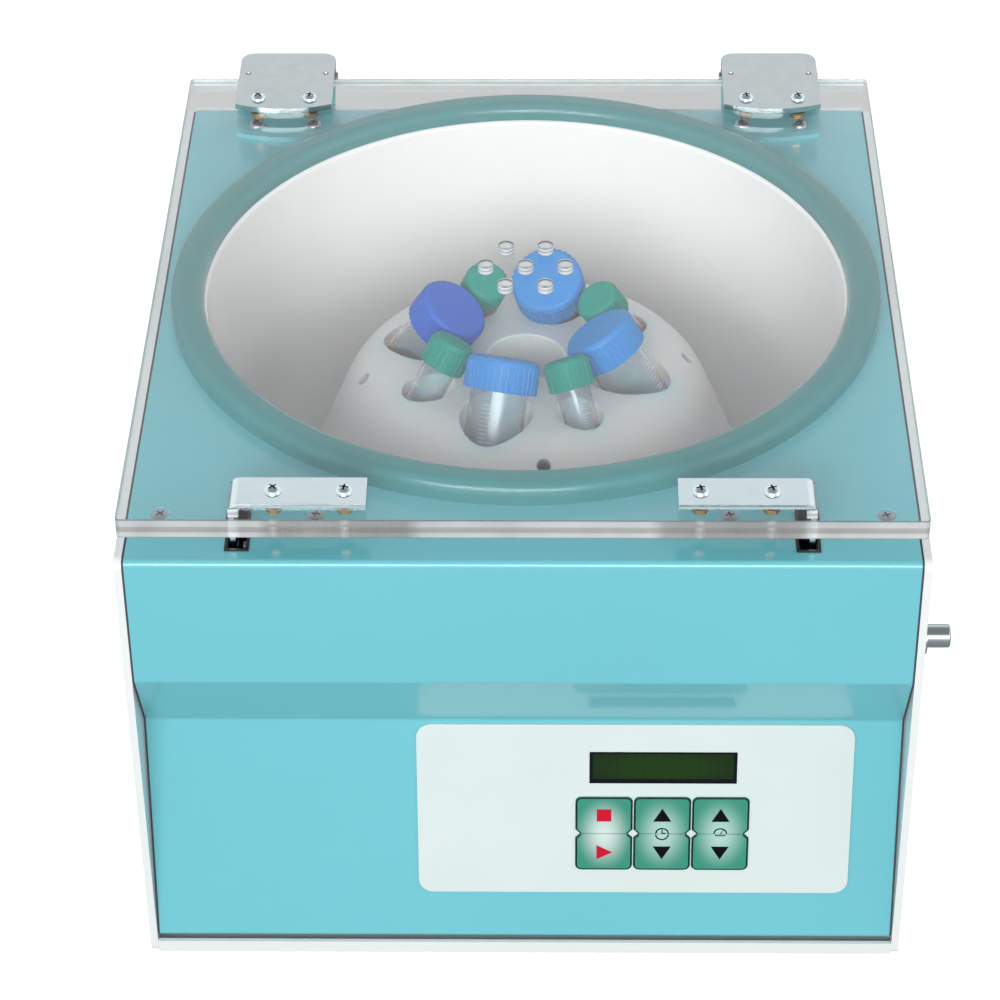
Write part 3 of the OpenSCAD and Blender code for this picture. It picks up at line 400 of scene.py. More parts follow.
@dataclass(frozen=True)
class SawnPlastic(ClearPlastic):
    """The cut edge of clear sheet: half see-through, half silvery with the tool's marks, over painted
    bands of reflection and shade.

    Attributes:
        silver: How metallic the frosted part looks.
        least: The least share of the frosted part.
        lit: The share of light that shines through from behind.
        film: The share of a lamp's rays that pass.
        polish: How rough the clear part is.
        streaks: How far the tool's marks darken the frosted part.
        shade_depth: How dark the brackets' shade is.
        shaded: The colour of the brackets' painted shade, sRGB hex.
        shadows: The shade from the middle of the front edge to its end.
        painted_light_bands: The painted reflections and shade, as colours from the underside to the
            top.
    """

    patch: float = 26.0
    grain: float = 1.6
    grain_depth: float = 0.02
    bite: float = 0.6
    stretch: Triple = (1.0, 1.0, 0.12)
    silver: float = 0.2
    least: float = 0.4
    lit: float = 0.3
    film: float = 0.8
    polish: float = 0.1
    streaks: float = 0.5
    shade_depth: float = 0.6
    shaded: str = "#85827C"
    shadows: tuple[tuple[float, str], ...] = (
        (0.29, "#000000"),
        (0.33, "#FFFFFF"),
        (0.67, "#FFFFFF"),
        (0.71, "#000000"),
    )
    painted_light_bands: tuple[tuple[float, str], ...] = (
        (0.0, "#6E6C6B"),
        (0.06, "#FAFCFC"),
        (0.26, "#F3F6F6"),
        (0.34, "#C2BEBC"),
        (0.56, "#CBC7C5"),
        (0.64, "#F1F4F4"),
        (0.9, "#EDF0F0"),
        (0.96, "#6A6765"),
        (1.0, "#8D8A88"),
    )

    def banded(self, shading: Shading) -> Socket:
        """Gives the painted reflection bands along the edge, with painted shade where the brackets'
        shade falls.

        The sheet's own UV map runs from 0 under it to 1 on top, and on the front edge from -1
        to 1 along it, where the brackets' shade falls to both sides of the middle.
        """
        edge = shading.add("ShaderNodeUVMap", uv_map="edge")
        # Painted reflections and shade: bright and dark lines from the underside to the top
        painted_light_bands = shading.ramp(shading.part(edge, "Y"), self.painted_light_bands)
        along = shading.part(edge, "X")
        # Painted shade where the brackets' shadow falls on the front edge
        off_middle = shading.add("ShaderNodeMath", {0: along}, operation="ABSOLUTE")
        shade = shading.ranged(shading.ramp(off_middle, self.shadows), (0.0, self.shade_depth))
        return shading.mixed(shade, painted_light_bands, self.shaded)

    def shade(self, shading: Shading) -> Socket:
        """Builds silvery streaks across the edge between clearer ones, over the painted light bands.
        """
        painted_light_bands = self.banded(shading)
        marks = shading.blotches(self.grain, self.stretch)
        rough = shading.relief(marks, self.grain_depth, self.bite)
        clear_look = {"Base Color": linear(self.colour), "Roughness": self.polish}
        clear_look |= {"IOR": self.ior, "Transmission Weight": 1.0, "Normal": rough}
        darker = shading.ranged(marks, (0.0, self.streaks))
        streaked = shading.mixed(darker, painted_light_bands, self.deep)
        frosted_look = {"Base Color": streaked, "Metallic": self.silver}
        frosted_look |= {"Roughness": self.roughness, "Normal": rough}
        frosted = shading.add("ShaderNodeBsdfPrincipled", frosted_look)
        lit = shading.add("ShaderNodeBsdfTranslucent", {"Color": painted_light_bands, "Normal": rough})
        film = shading.add("ShaderNodeBsdfTransparent", {"Color": linear(self.colour)})
        from_lamp = shading.add("ShaderNodeLightPath", take="Is Shadow Ray")
        whole = shading.add("ShaderNodeBsdfPrincipled", clear_look)
        for share, other in (
            (shading.ranged(shading.blotches(self.patch), (self.least, 1.0)), frosted),
            (self.lit, lit),
            (shading.ranged(from_lamp, (0.0, self.film)), film),
        ):
            whole = shading.add("ShaderNodeMixShader", {0: share, 1: whole, 2: other})
        return whole


@dataclass(frozen=True)
class PressedRubber(Finish):
    """Vulcanised rubber: matt, with a pale dusty bloom in blotches."""

    patch: float = 4.0
    wear: Pair = (0.9, 1.0)
    grain: float = 0.4
    grain_depth: float = 0.02
    bite: float = 0.6


@dataclass(frozen=True)
class PadFilm(Finish):
    """Printed polyester over a key pad: a tint that fades to pale at the pad's middle.

    Attributes:
        pale: The colour at the middle, sRGB hex.
        fade: Where the tint starts and is full, on the pad's own map.
    """

    patch: float = 0.8
    grain: float = 0.6
    grain_depth: float = 0.006
    pale: str = "#A5C6BD"
    fade: Pair = (0.05, 1.1)

    def tone(self, shading: Shading, patches: Socket) -> Socket:
        """Reads the print from the key's own UV map, which runs from -1 to 1 over the pad."""
        around = shading.add("ShaderNodeUVMap", uv_map="pad")
        reach = shading.add("ShaderNodeVectorMath", {0: around}, operation="LENGTH")
        tint = shading.ranged(reach, (0.0, 1.0), self.fade, eased=True)
        inks = shading.mixed(tint, self.pale, self.colour)
        return shading.mixed(shading.ranged(patches, (0.0, 0.12)), inks, self.deep)


@dataclass(frozen=True)
class CharacterGlass(Finish):
    """A liquid-crystal window at rest: dark olive, darker to its rim, with faint character cells.

    Attributes:
        columns: How many cells are side by side.
        rows: How many rows of cells there are.
        gap: The colour between the cells, sRGB hex.
        rim: Where the dark rim starts and is full, on the window's own map.
    """

    columns: int = 16
    rows: int = 2
    gap: str = "#1B3114"
    rim: Pair = (0.3, 0.62)

    def surface(self, shading: Shading) -> Inputs:
        """Gives dark glass, whose cells and rim read the window's own UV map, from 0 to 1."""
        around = shading.add("ShaderNodeUVMap", uv_map="pad")
        bricks = {"Vector": around, "Scale": 1.0, "Mortar Size": 0.006, "Mortar Smooth": 0.2}
        bricks |= {"Brick Width": 1 / self.columns, "Row Height": 1 / self.rows}
        bricks |= {"Color1": linear(self.colour), "Color2": linear(self.colour)}
        cells = shading.add("ShaderNodeTexBrick", bricks | {"Mortar": linear(self.gap)}, offset=0.0)
        halfway = {0: around, 1: (0.5, 0.5, 0.0)}
        off_middle = shading.add("ShaderNodeVectorMath", halfway, operation="SUBTRACT")
        reach = shading.add("ShaderNodeVectorMath", {0: off_middle}, operation="LENGTH")
        dark = shading.ranged(reach, (0.0, 0.7), self.rim)
        return {
            "Base Color": shading.mixed(dark, cells, self.deep),
            "Roughness": self.roughness,
            "Specular IOR Level": 0.12,
        }


@dataclass(frozen=True)
class LitPaper(Finish):
    """Backdrop paper lit from below, so that the camera sees it white under soft lamps.

    Attributes:
        glow: How bright it is to the camera.
        dimmed: The share of the glow that shows through clear plastic.
    """

    patch: float = 60.0
    glow: float = 0.86
    dimmed: float = 0.35

    def surface(self, shading: Shading) -> Inputs:
        """Adds a glow that lights nothing else."""
        seen, through = (
            shading.add("ShaderNodeLightPath", take=f"Is {ray} Ray")
            for ray in ("Camera", "Transmission")
        )
        dim = shading.ranged(through, (0.0, self.glow * self.dimmed))
        light = {0: seen, 1: self.glow, 2: dim}
        return super().surface(shading) | {
            "Emission Color": linear("#FFFFFF"),
            "Emission Strength": shading.add("ShaderNodeMath", light, operation="MULTIPLY_ADD"),
        }


# Stoving enamel gives broad soft highlights on an even colour
TEAL_ENAMEL = SprayedEnamel("teal_stoving_enamel", "teal_paint", "#69B9C4", "#65B4BF", 0.26)
WHITE_ENAMEL = SprayedEnamel("white_stoving_enamel", "white_paint", "#DDE1E1", "#D7DBDB", 0.3)
# The bowl's enamel greys toward its floor as painted shade
BOWL_ENAMEL_PAINTED_SHADE = BowlEnamelPaintedShade("white_bowl_enamel", "bowl_white", "#F8F4F3", "#F2EFEE", 0.34)
# The ring is moulded, a shade darker than the enamel, with a faint gloss on its skin
RING_RUBBER = MouldedPlastic(
    "teal_moulded_ring", "ring_teal", "#348386", "#307D80", 0.24, grain=2.2, coat=0.2
)
# Cast sheet is flat and clear, and moulded tubes are a little milky and wavy
LID_ACRYLIC = ClearPlastic("cast_acrylic", "clear_acrylic", "#FAFCFC", "#F8FBFB", 0.004)
TUBE_PLASTIC = ClearPlastic(
    "clear_polypropylene", "tube_clear", "#F1F5F7", "#E8EEF2", 0.12, ior=1.4, grain=8.0
)
# The saw and the drill leave fine upright marks, which turn a cut silvery, over painted bands of
# reflection and shade
EDGE_ACRYLIC = SawnPlastic("sawn_acrylic_edge", "clear_acrylic", "#F6FAFA", "#D6DCDD", 0.28)
DRILLED_ACRYLIC = SawnPlastic(
    "drilled_acrylic_wall",
    "clear_acrylic",
    "#F8FAFA",
    "#8E9294",
    0.22,
    grain=0.9,
    silver=0.15,
    least=0.85,
    # Painted reflections and shade: bright and dark lines down the drilled wall
    painted_light_bands=(
        (0.0, "#4C4D50"),
        (0.12, "#FFFFFF"),
        (0.4, "#F4F6F6"),
        (0.5, "#77797C"),
        (0.58, "#FFFFFF"),
        (0.82, "#F8FAFA"),
        (0.93, "#3C3D40"),
        (1.0, "#FFFFFF"),
    ),
)
# Chrome and nickel mirror the room, nickel darker and warmer than chrome
CHROME = PlatedMetal("polished_chrome", "chrome", "#E6F5FA", "#DCECF2", 0.07)
NICKEL = PlatedMetal("bright_nickel", "chrome", "#C8D2D3", "#BBC5C7", 0.09)
# Zinc is streaked and satin, blackened steel dull, brass yellow
STEEL = PlatedMetal(
    "zinc_plated_steel", "steel", "#B9BDC1", "#A3A8AD", 0.3, grain=0.8, stretch=(0.2, 1.0, 1.0)
)
DARK_STEEL = PlatedMetal("blackened_steel", "dark_steel", "#5C5F63", "#4A4D50", 0.42)
BRASS = PlatedMetal("yellow_brass", "brass", "#F2AE68", "#E0924A", 0.22)
# A dark steel painted into screw recesses as painted shade
RECESS_PAINTED_SHADE = PlatedMetal("greased_steel", "dark_steel", "#2A2B2D", "#1C1D1F", 0.5)
# Rubber swallows light, silicone less than black rubber
BLACK_RUBBER = PressedRubber("black_rubber", "black_rubber", "#0F0F11", "#1D1D1F", 0.8)
GREY_RUBBER = PressedRubber("grey_silicone_rubber", "mat_grey", "#9C9C98", "#8C8C88", 0.7)
# Moulded polyamide is dark and satin, and a circuit board's mask a glossy green
BLACK_PLASTIC = MouldedPlastic(
    "black_polyamide", "black_plastic", "#1A1B1D", "#242528", 0.46, grain=0.7
)
CIRCUIT_BOARD = MouldedPlastic("solder_mask", "board_green", "#1F6B45", "#185A39", 0.35, grain=3.0)
# Light sinks deep into white polypropylene, and the bored walls are coloured whiter as painted light
ROTOR_PLASTIC = MouldedPlastic(
    "white_polypropylene",
    "rotor_white",
    "#DFDFE0",
    "#D9D9DB",
    0.4,
    grain=1.2,
    soft=0.7,
    soft_depth=14.0,
)
BORED_PLASTIC_PAINTED_LIGHT = MouldedPlastic(
    "bored_polypropylene",
    "rotor_white",
    "#FBFBFC",
    "#F5F6F7",
    0.5,
    grain=0.6,
    soft=0.9,
    soft_depth=16.0,
)


def cap_plastic(name: str, slot: str, colour: str, deep: str, shine: float) -> MouldedPlastic:
    """Gives the waxy polyethylene of a cap, in which light sinks in and edges glow softly."""
    return MouldedPlastic(
        name, slot, colour, deep, 0.45, grain=0.9, soft=0.4, soft_depth=4.0, shine=shine
    )


BLUE_PLASTIC = cap_plastic("blue_polyethylene", "cap_blue", "#3291DA", "#2C88CE", 0.3)
VIOLET_PLASTIC = cap_plastic("violet_polyethylene", "cap_blue", "#2C66CE", "#285EC2", 0.3)
GREEN_PLASTIC = cap_plastic("green_polyethylene", "cap_green", "#00988A", "#008E80", 0.2)
# Polyester film is matt and even, and its green print fades to a pale middle
FASCIA_FILM = MouldedPlastic(
    "white_polyester_film", "fascia_white", "#CAD5D3", "#C3D0CE", 0.36, grain=0.8
)
KEY_FILM = PadFilm("green_printed_film", "key_green", "#2E8570", "#267A66", 0.4)
STOP_FILM = PadFilm(
    "pale_green_printed_film", "key_green", "#2E8570", "#267A66", 0.4, pale="#C4D3CF"
)
# Screen inks are matt, nearly without a highlight
DARK_INK = MouldedPlastic("dark_outline_ink", "key_green", "#0E2A24", "#0A221D", 0.5, shine=0.1)
BLACK_INK = MouldedPlastic("black_ink", "key_green", "#060607", "#0A0A0B", 0.5, shine=0.08)
RED_INK = MouldedPlastic("red_ink", "key_green", "#C01430", "#B4112B", 0.5, shine=0.1)
LINE_INK = MouldedPlastic("white_scale_ink", "tube_clear", "#F6F7F8", "#E9EBEC", 0.4)
# A resting display is nearly black, under a window that hardly shines
DISPLAY = CharacterGlass("character_display", "display_glass", "#1D3416", "#132310", 0.35)
DISPLAY_RIM = MouldedPlastic(
    "navy_display_rim", "display_glass", "#080B16", "#060911", 0.4, shine=0.15
)
# Matt paper keeps the floor's shadows soft
FLOOR_PAPER = LitPaper("white_backdrop_paper", "", "#9C9C9C", "#9A9A9A", 0.9)


# Meshes

# An edge that turns by more is rounded, and one that turns by more than the second stays sharp
ROUNDED_OVER = math.radians(32)
SHARP_OVER = math.radians(40)


def new_piece(name: str, shape: bpy.types.Mesh | bmesh.types.BMesh) -> Piece:
    """Makes an object of a finished mesh, at the origin.

    Args:
        name: The object's name.
        shape: Its mesh, or one in edit form, which is used up.

    Returns:
        The object.
    """
    if isinstance(shape, bmesh.types.BMesh):
        data = bpy.data.meshes.new(name)
        shape.to_mesh(data)
        shape.free()
        shape = data
    piece = bpy.data.objects.new(name, shape)
    bpy.context.scene.collection.objects.link(piece)
    return piece


def baked(piece: Piece) -> None:
    """Turns a piece's modifiers into its plain mesh."""
    graph = bpy.context.evaluated_depsgraph_get()
    mesh = bpy.data.meshes.new_from_object(piece.evaluated_get(graph), depsgraph=graph)
    piece.modifiers.clear()
    piece.data = mesh


def softened(piece: Piece, edge: float) -> None:
    """Rounds a piece's edges and shades it smooth between them.

    Args:
        piece: The piece, whose mesh is merged and closed.
        edge: The radius of the rounded edges in millimetres, or 0 for none.
    """
    if edge > 0:
        bevel = piece.modifiers.new("edges", "BEVEL")
        bevel.width = edge * MM
        bevel.segments = 2
        bevel.limit_method = "ANGLE"
        bevel.angle_limit = ROUNDED_OVER
        bevel.miter_outer = "MITER_ARC"
        baked(piece)
    piece.data.shade_smooth()
    piece.data.set_sharp_from_angle(angle=SHARP_OVER)
    weighted = piece.modifiers.new("normals", "WEIGHTED_NORMAL")
    weighted.keep_sharp = True
    baked(piece)


def merged_mesh(node: str, whole_faces: bool = False) -> bmesh.types.BMesh:
    """Copies a CAD node's loose triangles as one closed, merged mesh.

    Args:
        node: The CAD node's name.
        whole_faces: Whether triangles in one plane become one face.

    Returns:
        The mesh in edit form, which the caller frees.
    """
    mesh = bmesh.new()
    mesh.from_mesh(bpy.data.objects[node].data)
    bmesh.ops.remove_doubles(mesh, verts=mesh.verts, dist=0.002 * MM)
    if whole_faces:
        flat = math.radians(0.4)
        bmesh.ops.dissolve_limit(mesh, angle_limit=flat, verts=mesh.verts, edges=mesh.edges)
    return mesh


def cad_copy(node: str, edge: float) -> Piece:
    """Copies a CAD node as a piece with whole faces and edges rounded by so many millimetres."""
    piece = new_piece(node + "_dressed", merged_mesh(node, whole_faces=True))
    stored = piece.data.attributes.get("custom_normal")
    if stored is not None:
        piece.data.attributes.remove(stored)
    softened(piece, edge)
    return piece


@dataclass(frozen=True)
class Solid:
    """One separate solid of a CAD node.

    Attributes:
        low: Its lowest corner.
        high: Its highest corner.
        middle: The mean place of its corners.
    """

    low: Vector
    high: Vector
    middle: Vector


def solids(node: str) -> list[Solid]:
    """Finds the separate solids of a CAD node, from left to right."""
    mesh = merged_mesh(node)
    left = set(mesh.verts)
    found = []
    while left:
        group = []
        waiting = [left.pop()]
        while waiting:
            vert = waiting.pop()
            group.append(vert.co.copy())
            near = {e.other_vert(vert) for e in vert.link_edges} & left
            left -= near
            waiting.extend(near)
        low = Vector(min(p[i] for p in group) for i in range(3))
        high = Vector(max(p[i] for p in group) for i in range(3))
        found.append(Solid(low, high, sum(group, Vector()) / len(group)))
    mesh.free()
    return sorted(found, key=lambda solid: (round(solid.low.x, 4), solid.low.y))


def rectangle(left: float, foot: float, right: float, top: float) -> Outline:
    """Gives a rectangle's corners, anticlockwise."""
    return [(left, foot), (right, foot), (right, top), (left, top)]


def arc(radius: float, start: float, end: float, count: int = 20) -> Outline:
    """Gives points on an arc round (0, 0), with its angles in degrees."""
    angles = [math.radians(start + (end - start) * i / count) for i in range(count + 1)]
    return [(radius * math.cos(a), radius * math.sin(a)) for a in angles]


def inset(line: Outline, depth: float) -> Outline:
    """Moves an open line to its left by a depth in metres."""
    moved = []
    for i, (x, y) in enumerate(line):
        before, after = line[max(i - 1, 0)], line[min(i + 1, len(line) - 1)]
        one = Vector((x - before[0], y - before[1]))
        two = Vector((after[0] - x, after[1] - y))
        ways = [Vector((-way.y, way.x)).normalized() for way in (one, two) if way.length > 0]
        mean = (ways[0] + ways[-1]) / 2
        # A very sharp corner would move out too far
        shift = mean * depth / max(mean.length_squared, 0.2)
        moved.append((x + shift.x, y + shift.y))
    return moved


def slab(name: str, outline: Outline, span: Pair, put: Put) -> Piece:
    """Makes a flat piece of an outline.

    Args:
        name: The piece's name.
        outline: Its corners, anticlockwise seen from above, in metres.
        span: The heights of its underside and its top.
        put: Takes a point from the outline's own axes to the row frame.

    Returns:
        The piece.
    """
    mesh = bmesh.new()
    base, top = ([mesh.verts.new(put(Vector((x, y, z)))) for x, y in outline] for z in span)
    mesh.faces.new(list(reversed(base)))
    mesh.faces.new(top)
    for i in range(len(base)):
        j = (i + 1) % len(base)
        mesh.faces.new([base[i], base[j], top[j], top[i]])
    return new_piece(name, mesh)


def band(
    name: str, outer: Outline, inner: Outline, span: Pair, put: Put, closed: bool = False
) -> Piece:
    """Makes a flat strip between two outlines with the same number of points.

    Args:
        name: The piece's name.
        outer: The strip's outer line, anticlockwise, in metres.
        inner: Its inner line.
        span: The heights of its underside and its top.
        put: Takes a point from the outline's own axes to the row frame.
        closed: Whether the strip's ends meet.

    Returns:
        The piece.
    """
    mesh = bmesh.new()
    low, high = span
    rows = [
        [mesh.verts.new(put(Vector((x, y, z)))) for x, y in line]
        for line, z in ((outer, low), (outer, high), (inner, high), (inner, low))
    ]
    count = len(outer)
    for i in range(count if closed else count - 1):
        j = (i + 1) % count
        for one, two in zip(rows, rows[1:] + rows[:1]):
            mesh.faces.new([one[i], one[j], two[j], two[i]])
    if not closed:
        mesh.faces.new([row[0] for row in rows])
        mesh.faces.new([row[-1] for row in reversed(rows)])
    bmesh.ops.recalc_face_normals(mesh, faces=mesh.faces)
    return new_piece(name, mesh)


def joined(name: str, pieces: Sequence[Piece]) -> Piece:
    """Joins pieces into one, keeping each one's materials."""
    mesh = bmesh.new()
    materials: list[bpy.types.Material] = []
    for piece in pieces:
        start = len(mesh.faces)
        mesh.from_mesh(piece.data)
        mesh.faces.ensure_lookup_table()
        for face in mesh.faces[start:]:
            face.material_index += len(materials)
        materials.extend(piece.data.materials)
        bpy.data.objects.remove(piece)
    whole = new_piece(name, mesh)
    for made in materials:
        whole.data.materials.append(made)
    return whole


# Shapes from geometry nodes


class ShapeTree(TreeBuilder):
    """A geometry node tree with named inputs, made in code.

    Attributes:
        inlet: Its group input node.
    """

    KINDS = {float: "NodeSocketFloat", int: "NodeSocketInt"}

    def __init__(self, name: str, sizes: dict[str, float | int]) -> None:
        """Starts a tree.

        Args:
            name: The tree's name.
            sizes: Its named sizes with their usual values.
        """
        super().__init__(bpy.data.node_groups.new(name, "GeometryNodeTree"))
        face = self.tree.interface
        face.new_socket("Geometry", in_out="INPUT", socket_type="NodeSocketGeometry")
        for label, value in sizes.items():
            kind = self.KINDS[type(value)]
            face.new_socket(label, in_out="INPUT", socket_type=kind).default_value = value
        face.new_socket("Material", in_out="INPUT", socket_type="NodeSocketMaterial")
        face.new_socket("Geometry", in_out="OUTPUT", socket_type="NodeSocketGeometry")
        self.inlet = self.tree.nodes.new("NodeGroupInput")

    def sizes(self, *labels: str) -> list[Socket]:
        """Gives the outputs that carry named inputs."""
        return [self.inlet.outputs[label] for label in labels]

    def times(self, first: object, second: object) -> Socket:
        """Multiplies two numbers."""
        return self.add("ShaderNodeMath", {0: first, 1: second}, operation="MULTIPLY")

    def vector(self, x: object, y: object, z: object) -> Socket:
        """Joins three numbers into a vector."""
        return self.add("ShaderNodeCombineXYZ", {"X": x, "Y": y, "Z": z})

    def lifted(self, shape: Socket, height: Socket, share: float = 1.0) -> Socket:
        """Moves a shape along Z by a share of a height."""
        shift = self.vector(0.0, 0.0, self.times(height, share))
        return self.add("GeometryNodeTransform", {"Geometry": shape, "Translation": shift})

    def copied(self, shape: Socket, spin: Socket | None = None) -> Socket:
        """Puts a copy of a shape on each point, turned as the point says.

        Args:
            shape: What is copied.
            spin: A further turn about the shape's own axis, or None.

        Returns:
            The copies.
        """
        stored = {"Name": "turn"}
        angles = self.add("GeometryNodeInputNamedAttribute", stored, data_type="FLOAT_VECTOR")
        turn = self.add("FunctionNodeEulerToRotation", {0: angles})
        if spin is not None:
            own = self.add("FunctionNodeEulerToRotation", {0: self.vector(0.0, 0.0, spin)})
            both = {0: turn, 1: own}
            turn = self.add("FunctionNodeRotateRotation", both, rotation_space="LOCAL")
        (points,) = self.sizes("Geometry")
        copies = {"Points": points, "Instance": shape, "Rotation": turn}
        return self.add("GeometryNodeInstanceOnPoints", copies)

    def finish(self, shape: Socket) -> Tree:
        """Ends the tree in real faces of the named material, and gives the tree."""
        (material,) = self.sizes("Material")
        real = self.add("GeometryNodeRealizeInstances", {"Geometry": shape})
        inked = self.add("GeometryNodeSetMaterial", {"Geometry": real, "Material": material})
        self.add("NodeGroupOutput", {"Geometry": inked})
        return self.tree


def grown(
    name: str,
    tree: Tree,
    places: Sequence[tuple[Vector, Vector]],
    finish: Finish,
    **sizes: float | int,
) -> Piece:
    """Runs a tree on points and keeps the plain mesh that it makes.

    Args:
        name: The new piece's name.
        tree: The geometry node tree.
        places: For each point, where it is and its turn as Euler angles.
        finish: The material that goes to the tree's Material input.
        sizes: Values for the tree's inputs, with _ for a space.

    Returns:
        The piece.
    """
    data = bpy.data.meshes.new(name)
    data.from_pydata([tuple(place) for place, _ in places], [], [])
    turns = data.attributes.new("turn", "FLOAT_VECTOR", "POINT")
    for item, (_, turn) in zip(turns.data, places, strict=True):
        item.vector = turn
    piece = new_piece(name, data)
    modifier = piece.modifiers.new(name, "NODES")
    modifier.node_group = tree
    values: dict[str, object] = {k.replace("_", " "): v for k, v in sizes.items()}
    values["Material"] = finish.material()
    for item in tree.interface.items_tree:
        if item.in_out == "INPUT" and item.name in values:
            modifier[item.identifier] = values[item.name]
    baked(piece)
    piece.data.shade_smooth()
    piece.data.set_sharp_from_angle(angle=math.radians(35))
    return piece


@cache
def screw_tree() -> Tree:
    """Builds the tree of a cross-recessed screw: a domed head, a cone or collar under it, a shank.

    Returns:
        The tree, whose point is the seat of the head and whose +Z points out of it.
    """
    build = ShapeTree(
        "cross_recessed_screw",
        {
            "Head Radius": 4.0 * MM,
            "Head Height": 2.6 * MM,
            "Sunk Depth": 0.1 * MM,
            "Shank Radius": 2.0 * MM,
            "Shank Length": 14.0 * MM,
            "Recess Width": 0.9 * MM,
            "Recess Reach": 4.2 * MM,
            "Recess Depth": 1.6 * MM,
            "Turn Seed": 7,
        },
    )
    radius, height, sunk, thin = build.sizes(
        "Head Radius", "Head Height", "Sunk Depth", "Shank Radius"
    )
    ball = build.add("GeometryNodeMeshUVSphere", {"Segments": 32, "Rings": 16, "Radius": 1.0})
    oval = {"Geometry": ball, "Scale": build.vector(radius, radius, height)}
    dome = build.add("GeometryNodeTransform", oval)
    wide, tall = build.times(radius, 3.0), build.times(height, 3.0)
    block = build.add("GeometryNodeMeshCube", {"Size": build.vector(wide, wide, tall)})
    lower_half = build.lifted(block, tall, -0.5)
    cap = build.add("GeometryNodeMeshBoolean", {"Mesh 1": dome, "Mesh 2": lower_half})
    taper = {"Vertices": 32, "Radius Top": radius, "Radius Bottom": thin, "Depth": sunk}
    seat = build.lifted(build.add("GeometryNodeMeshCone", taper), sunk, -1.0)
    head = build.add("GeometryNodeMeshBoolean", {"Mesh 2": [seat, cap]}, operation="UNION")
    reach, width, depth, length = build.sizes(
        "Recess Reach", "Recess Width", "Recess Depth", "Shank Length"
    )
    deep = build.times(depth, 2.0)
    arms = [
        build.lifted(build.add("GeometryNodeMeshCube", {"Size": size}), height)
        for size in (build.vector(reach, width, deep), build.vector(width, reach, deep))
    ]
    cut = build.add("GeometryNodeMeshBoolean", {"Mesh 1": head, "Mesh 2": arms})
    rod = build.add("GeometryNodeMeshCylinder", {"Vertices": 20, "Radius": thin, "Depth": length})
    shank = build.lifted(rod, length, -0.5)
    whole = build.add("GeometryNodeJoinGeometry", {"Geometry": [cut, shank]})
    (seed,) = build.sizes("Turn Seed")
    angles = {"Min": 0.0, "Max": math.pi, "Seed": seed}
    spin = build.add("FunctionNodeRandomValue", angles, data_type="FLOAT")
    return build.finish(build.copied(whole, spin))


@cache
def scale_tree() -> Tree:
    """Builds the tree of a tube's printed scale: short lines, and a long one at every fifth.

    Returns:
        The tree, whose point is the tube's own origin and whose +Z runs up the tube.
    """
    build = ShapeTree(
        "tube_scale",
        {
            "Tube Radius": 14.0 * MM,
            "First Line": -60.0 * MM,
            "Pitch": 3.0 * MM,
            "Long Count": 4,
            "Short Sweep": 0.3,
            "Long Sweep": 0.6,
            "Start Angle": -0.3,
            "Line Width": 0.35 * MM,
        },
    )
    radius, first, pitch, longs = build.sizes("Tube Radius", "First Line", "Pitch", "Long Count")
    short, long, start, width = build.sizes(
        "Short Sweep", "Long Sweep", "Start Angle", "Line Width"
    )
    half = build.times(width, 0.5)
    ring = build.add("GeometryNodeCurvePrimitiveCircle", {"Resolution": 4, "Radius": half})
    rows = []
    for count, step, sweep in (
        (build.times(longs, 5.0), pitch, short),
        (longs, build.times(pitch, 5.0), long),
    ):
        line = {"Count": count, "Start Location": build.vector(0.0, 0.0, first)}
        line["Offset"] = build.vector(0.0, 0.0, step)
        row = build.add("GeometryNodeMeshLine", line)
        bend = {"Resolution": 10, "Radius": radius, "Start Angle": start, "Sweep Angle": sweep}
        curve = build.add("GeometryNodeCurveArc", bend)
        swept = {"Curve": curve, "Profile Curve": ring, "Fill Caps": True}
        mark = build.add("GeometryNodeCurveToMesh", swept)
        rows.append(build.add("GeometryNodeInstanceOnPoints", {"Points": row, "Instance": mark}))
    whole = build.add("GeometryNodeJoinGeometry", {"Geometry": rows})
    return build.finish(build.copied(whole))


# Dressing the frame's own nodes


def body_of(node: str) -> str:
    """Gives the name of the CAD body that a node belongs to."""
    return bpy.data.objects[node]["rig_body"]


def finished(piece: Piece, body: str, finish: Finish, replaced: Sequence[str] = ()) -> Piece:
    """Gives a piece its finish and its body, and reports it.

    Args:
        piece: The piece, with its place in its mesh.
        body: The CAD body that it rides on.
        finish: Its material, where it has none yet.
        replaced: The CAD nodes that it stands for.

    Returns:
        The same piece.
    """
    if not piece.data.materials:
        piece.data.materials.append(finish.material())
    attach(piece, body)
    if replaced:
        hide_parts(*replaced)
    log.info("%s rides on %s, %d faces", piece.name, body, len(piece.data.polygons))
    return piece


def painted(piece: Piece, finishes: Sequence[Finish], pick: Pick) -> None:
    """Gives each face of a piece the finish whose number pick gives for it."""
    piece.data.materials.clear()
    for finish in finishes:
        piece.data.materials.append(finish.material())
    for face in piece.data.polygons:
        face.material_index = int(pick(face))


def dressed(node: str, *finishes: Finish, edge: float = 0.0, pick: Pick | None = None) -> Piece:
    """Puts a rounded, finished copy of a CAD node in its place.

    Args:
        node: The CAD node's name.
        finishes: The copy's finishes, of which the first one is the whole copy's when no pick is
            given.
        edge: The radius of its rounded edges in millimetres.
        pick: Takes a face and gives the number of its finish, where there are several.

    Returns:
        The new piece.
    """
    piece = cad_copy(node, edge)
    if pick is not None:
        painted(piece, finishes, pick)
    return finished(piece, body_of(node), finishes[0], [node])


def coated(node: str, finish: Finish) -> None:
    """Gives a CAD node that stays as it is its finish."""
    part = bpy.data.objects[node]
    part.data.materials.clear()
    part.data.materials.append(finish.material())
    log.info("%s keeps its CAD shape in %s", node, finish.name)


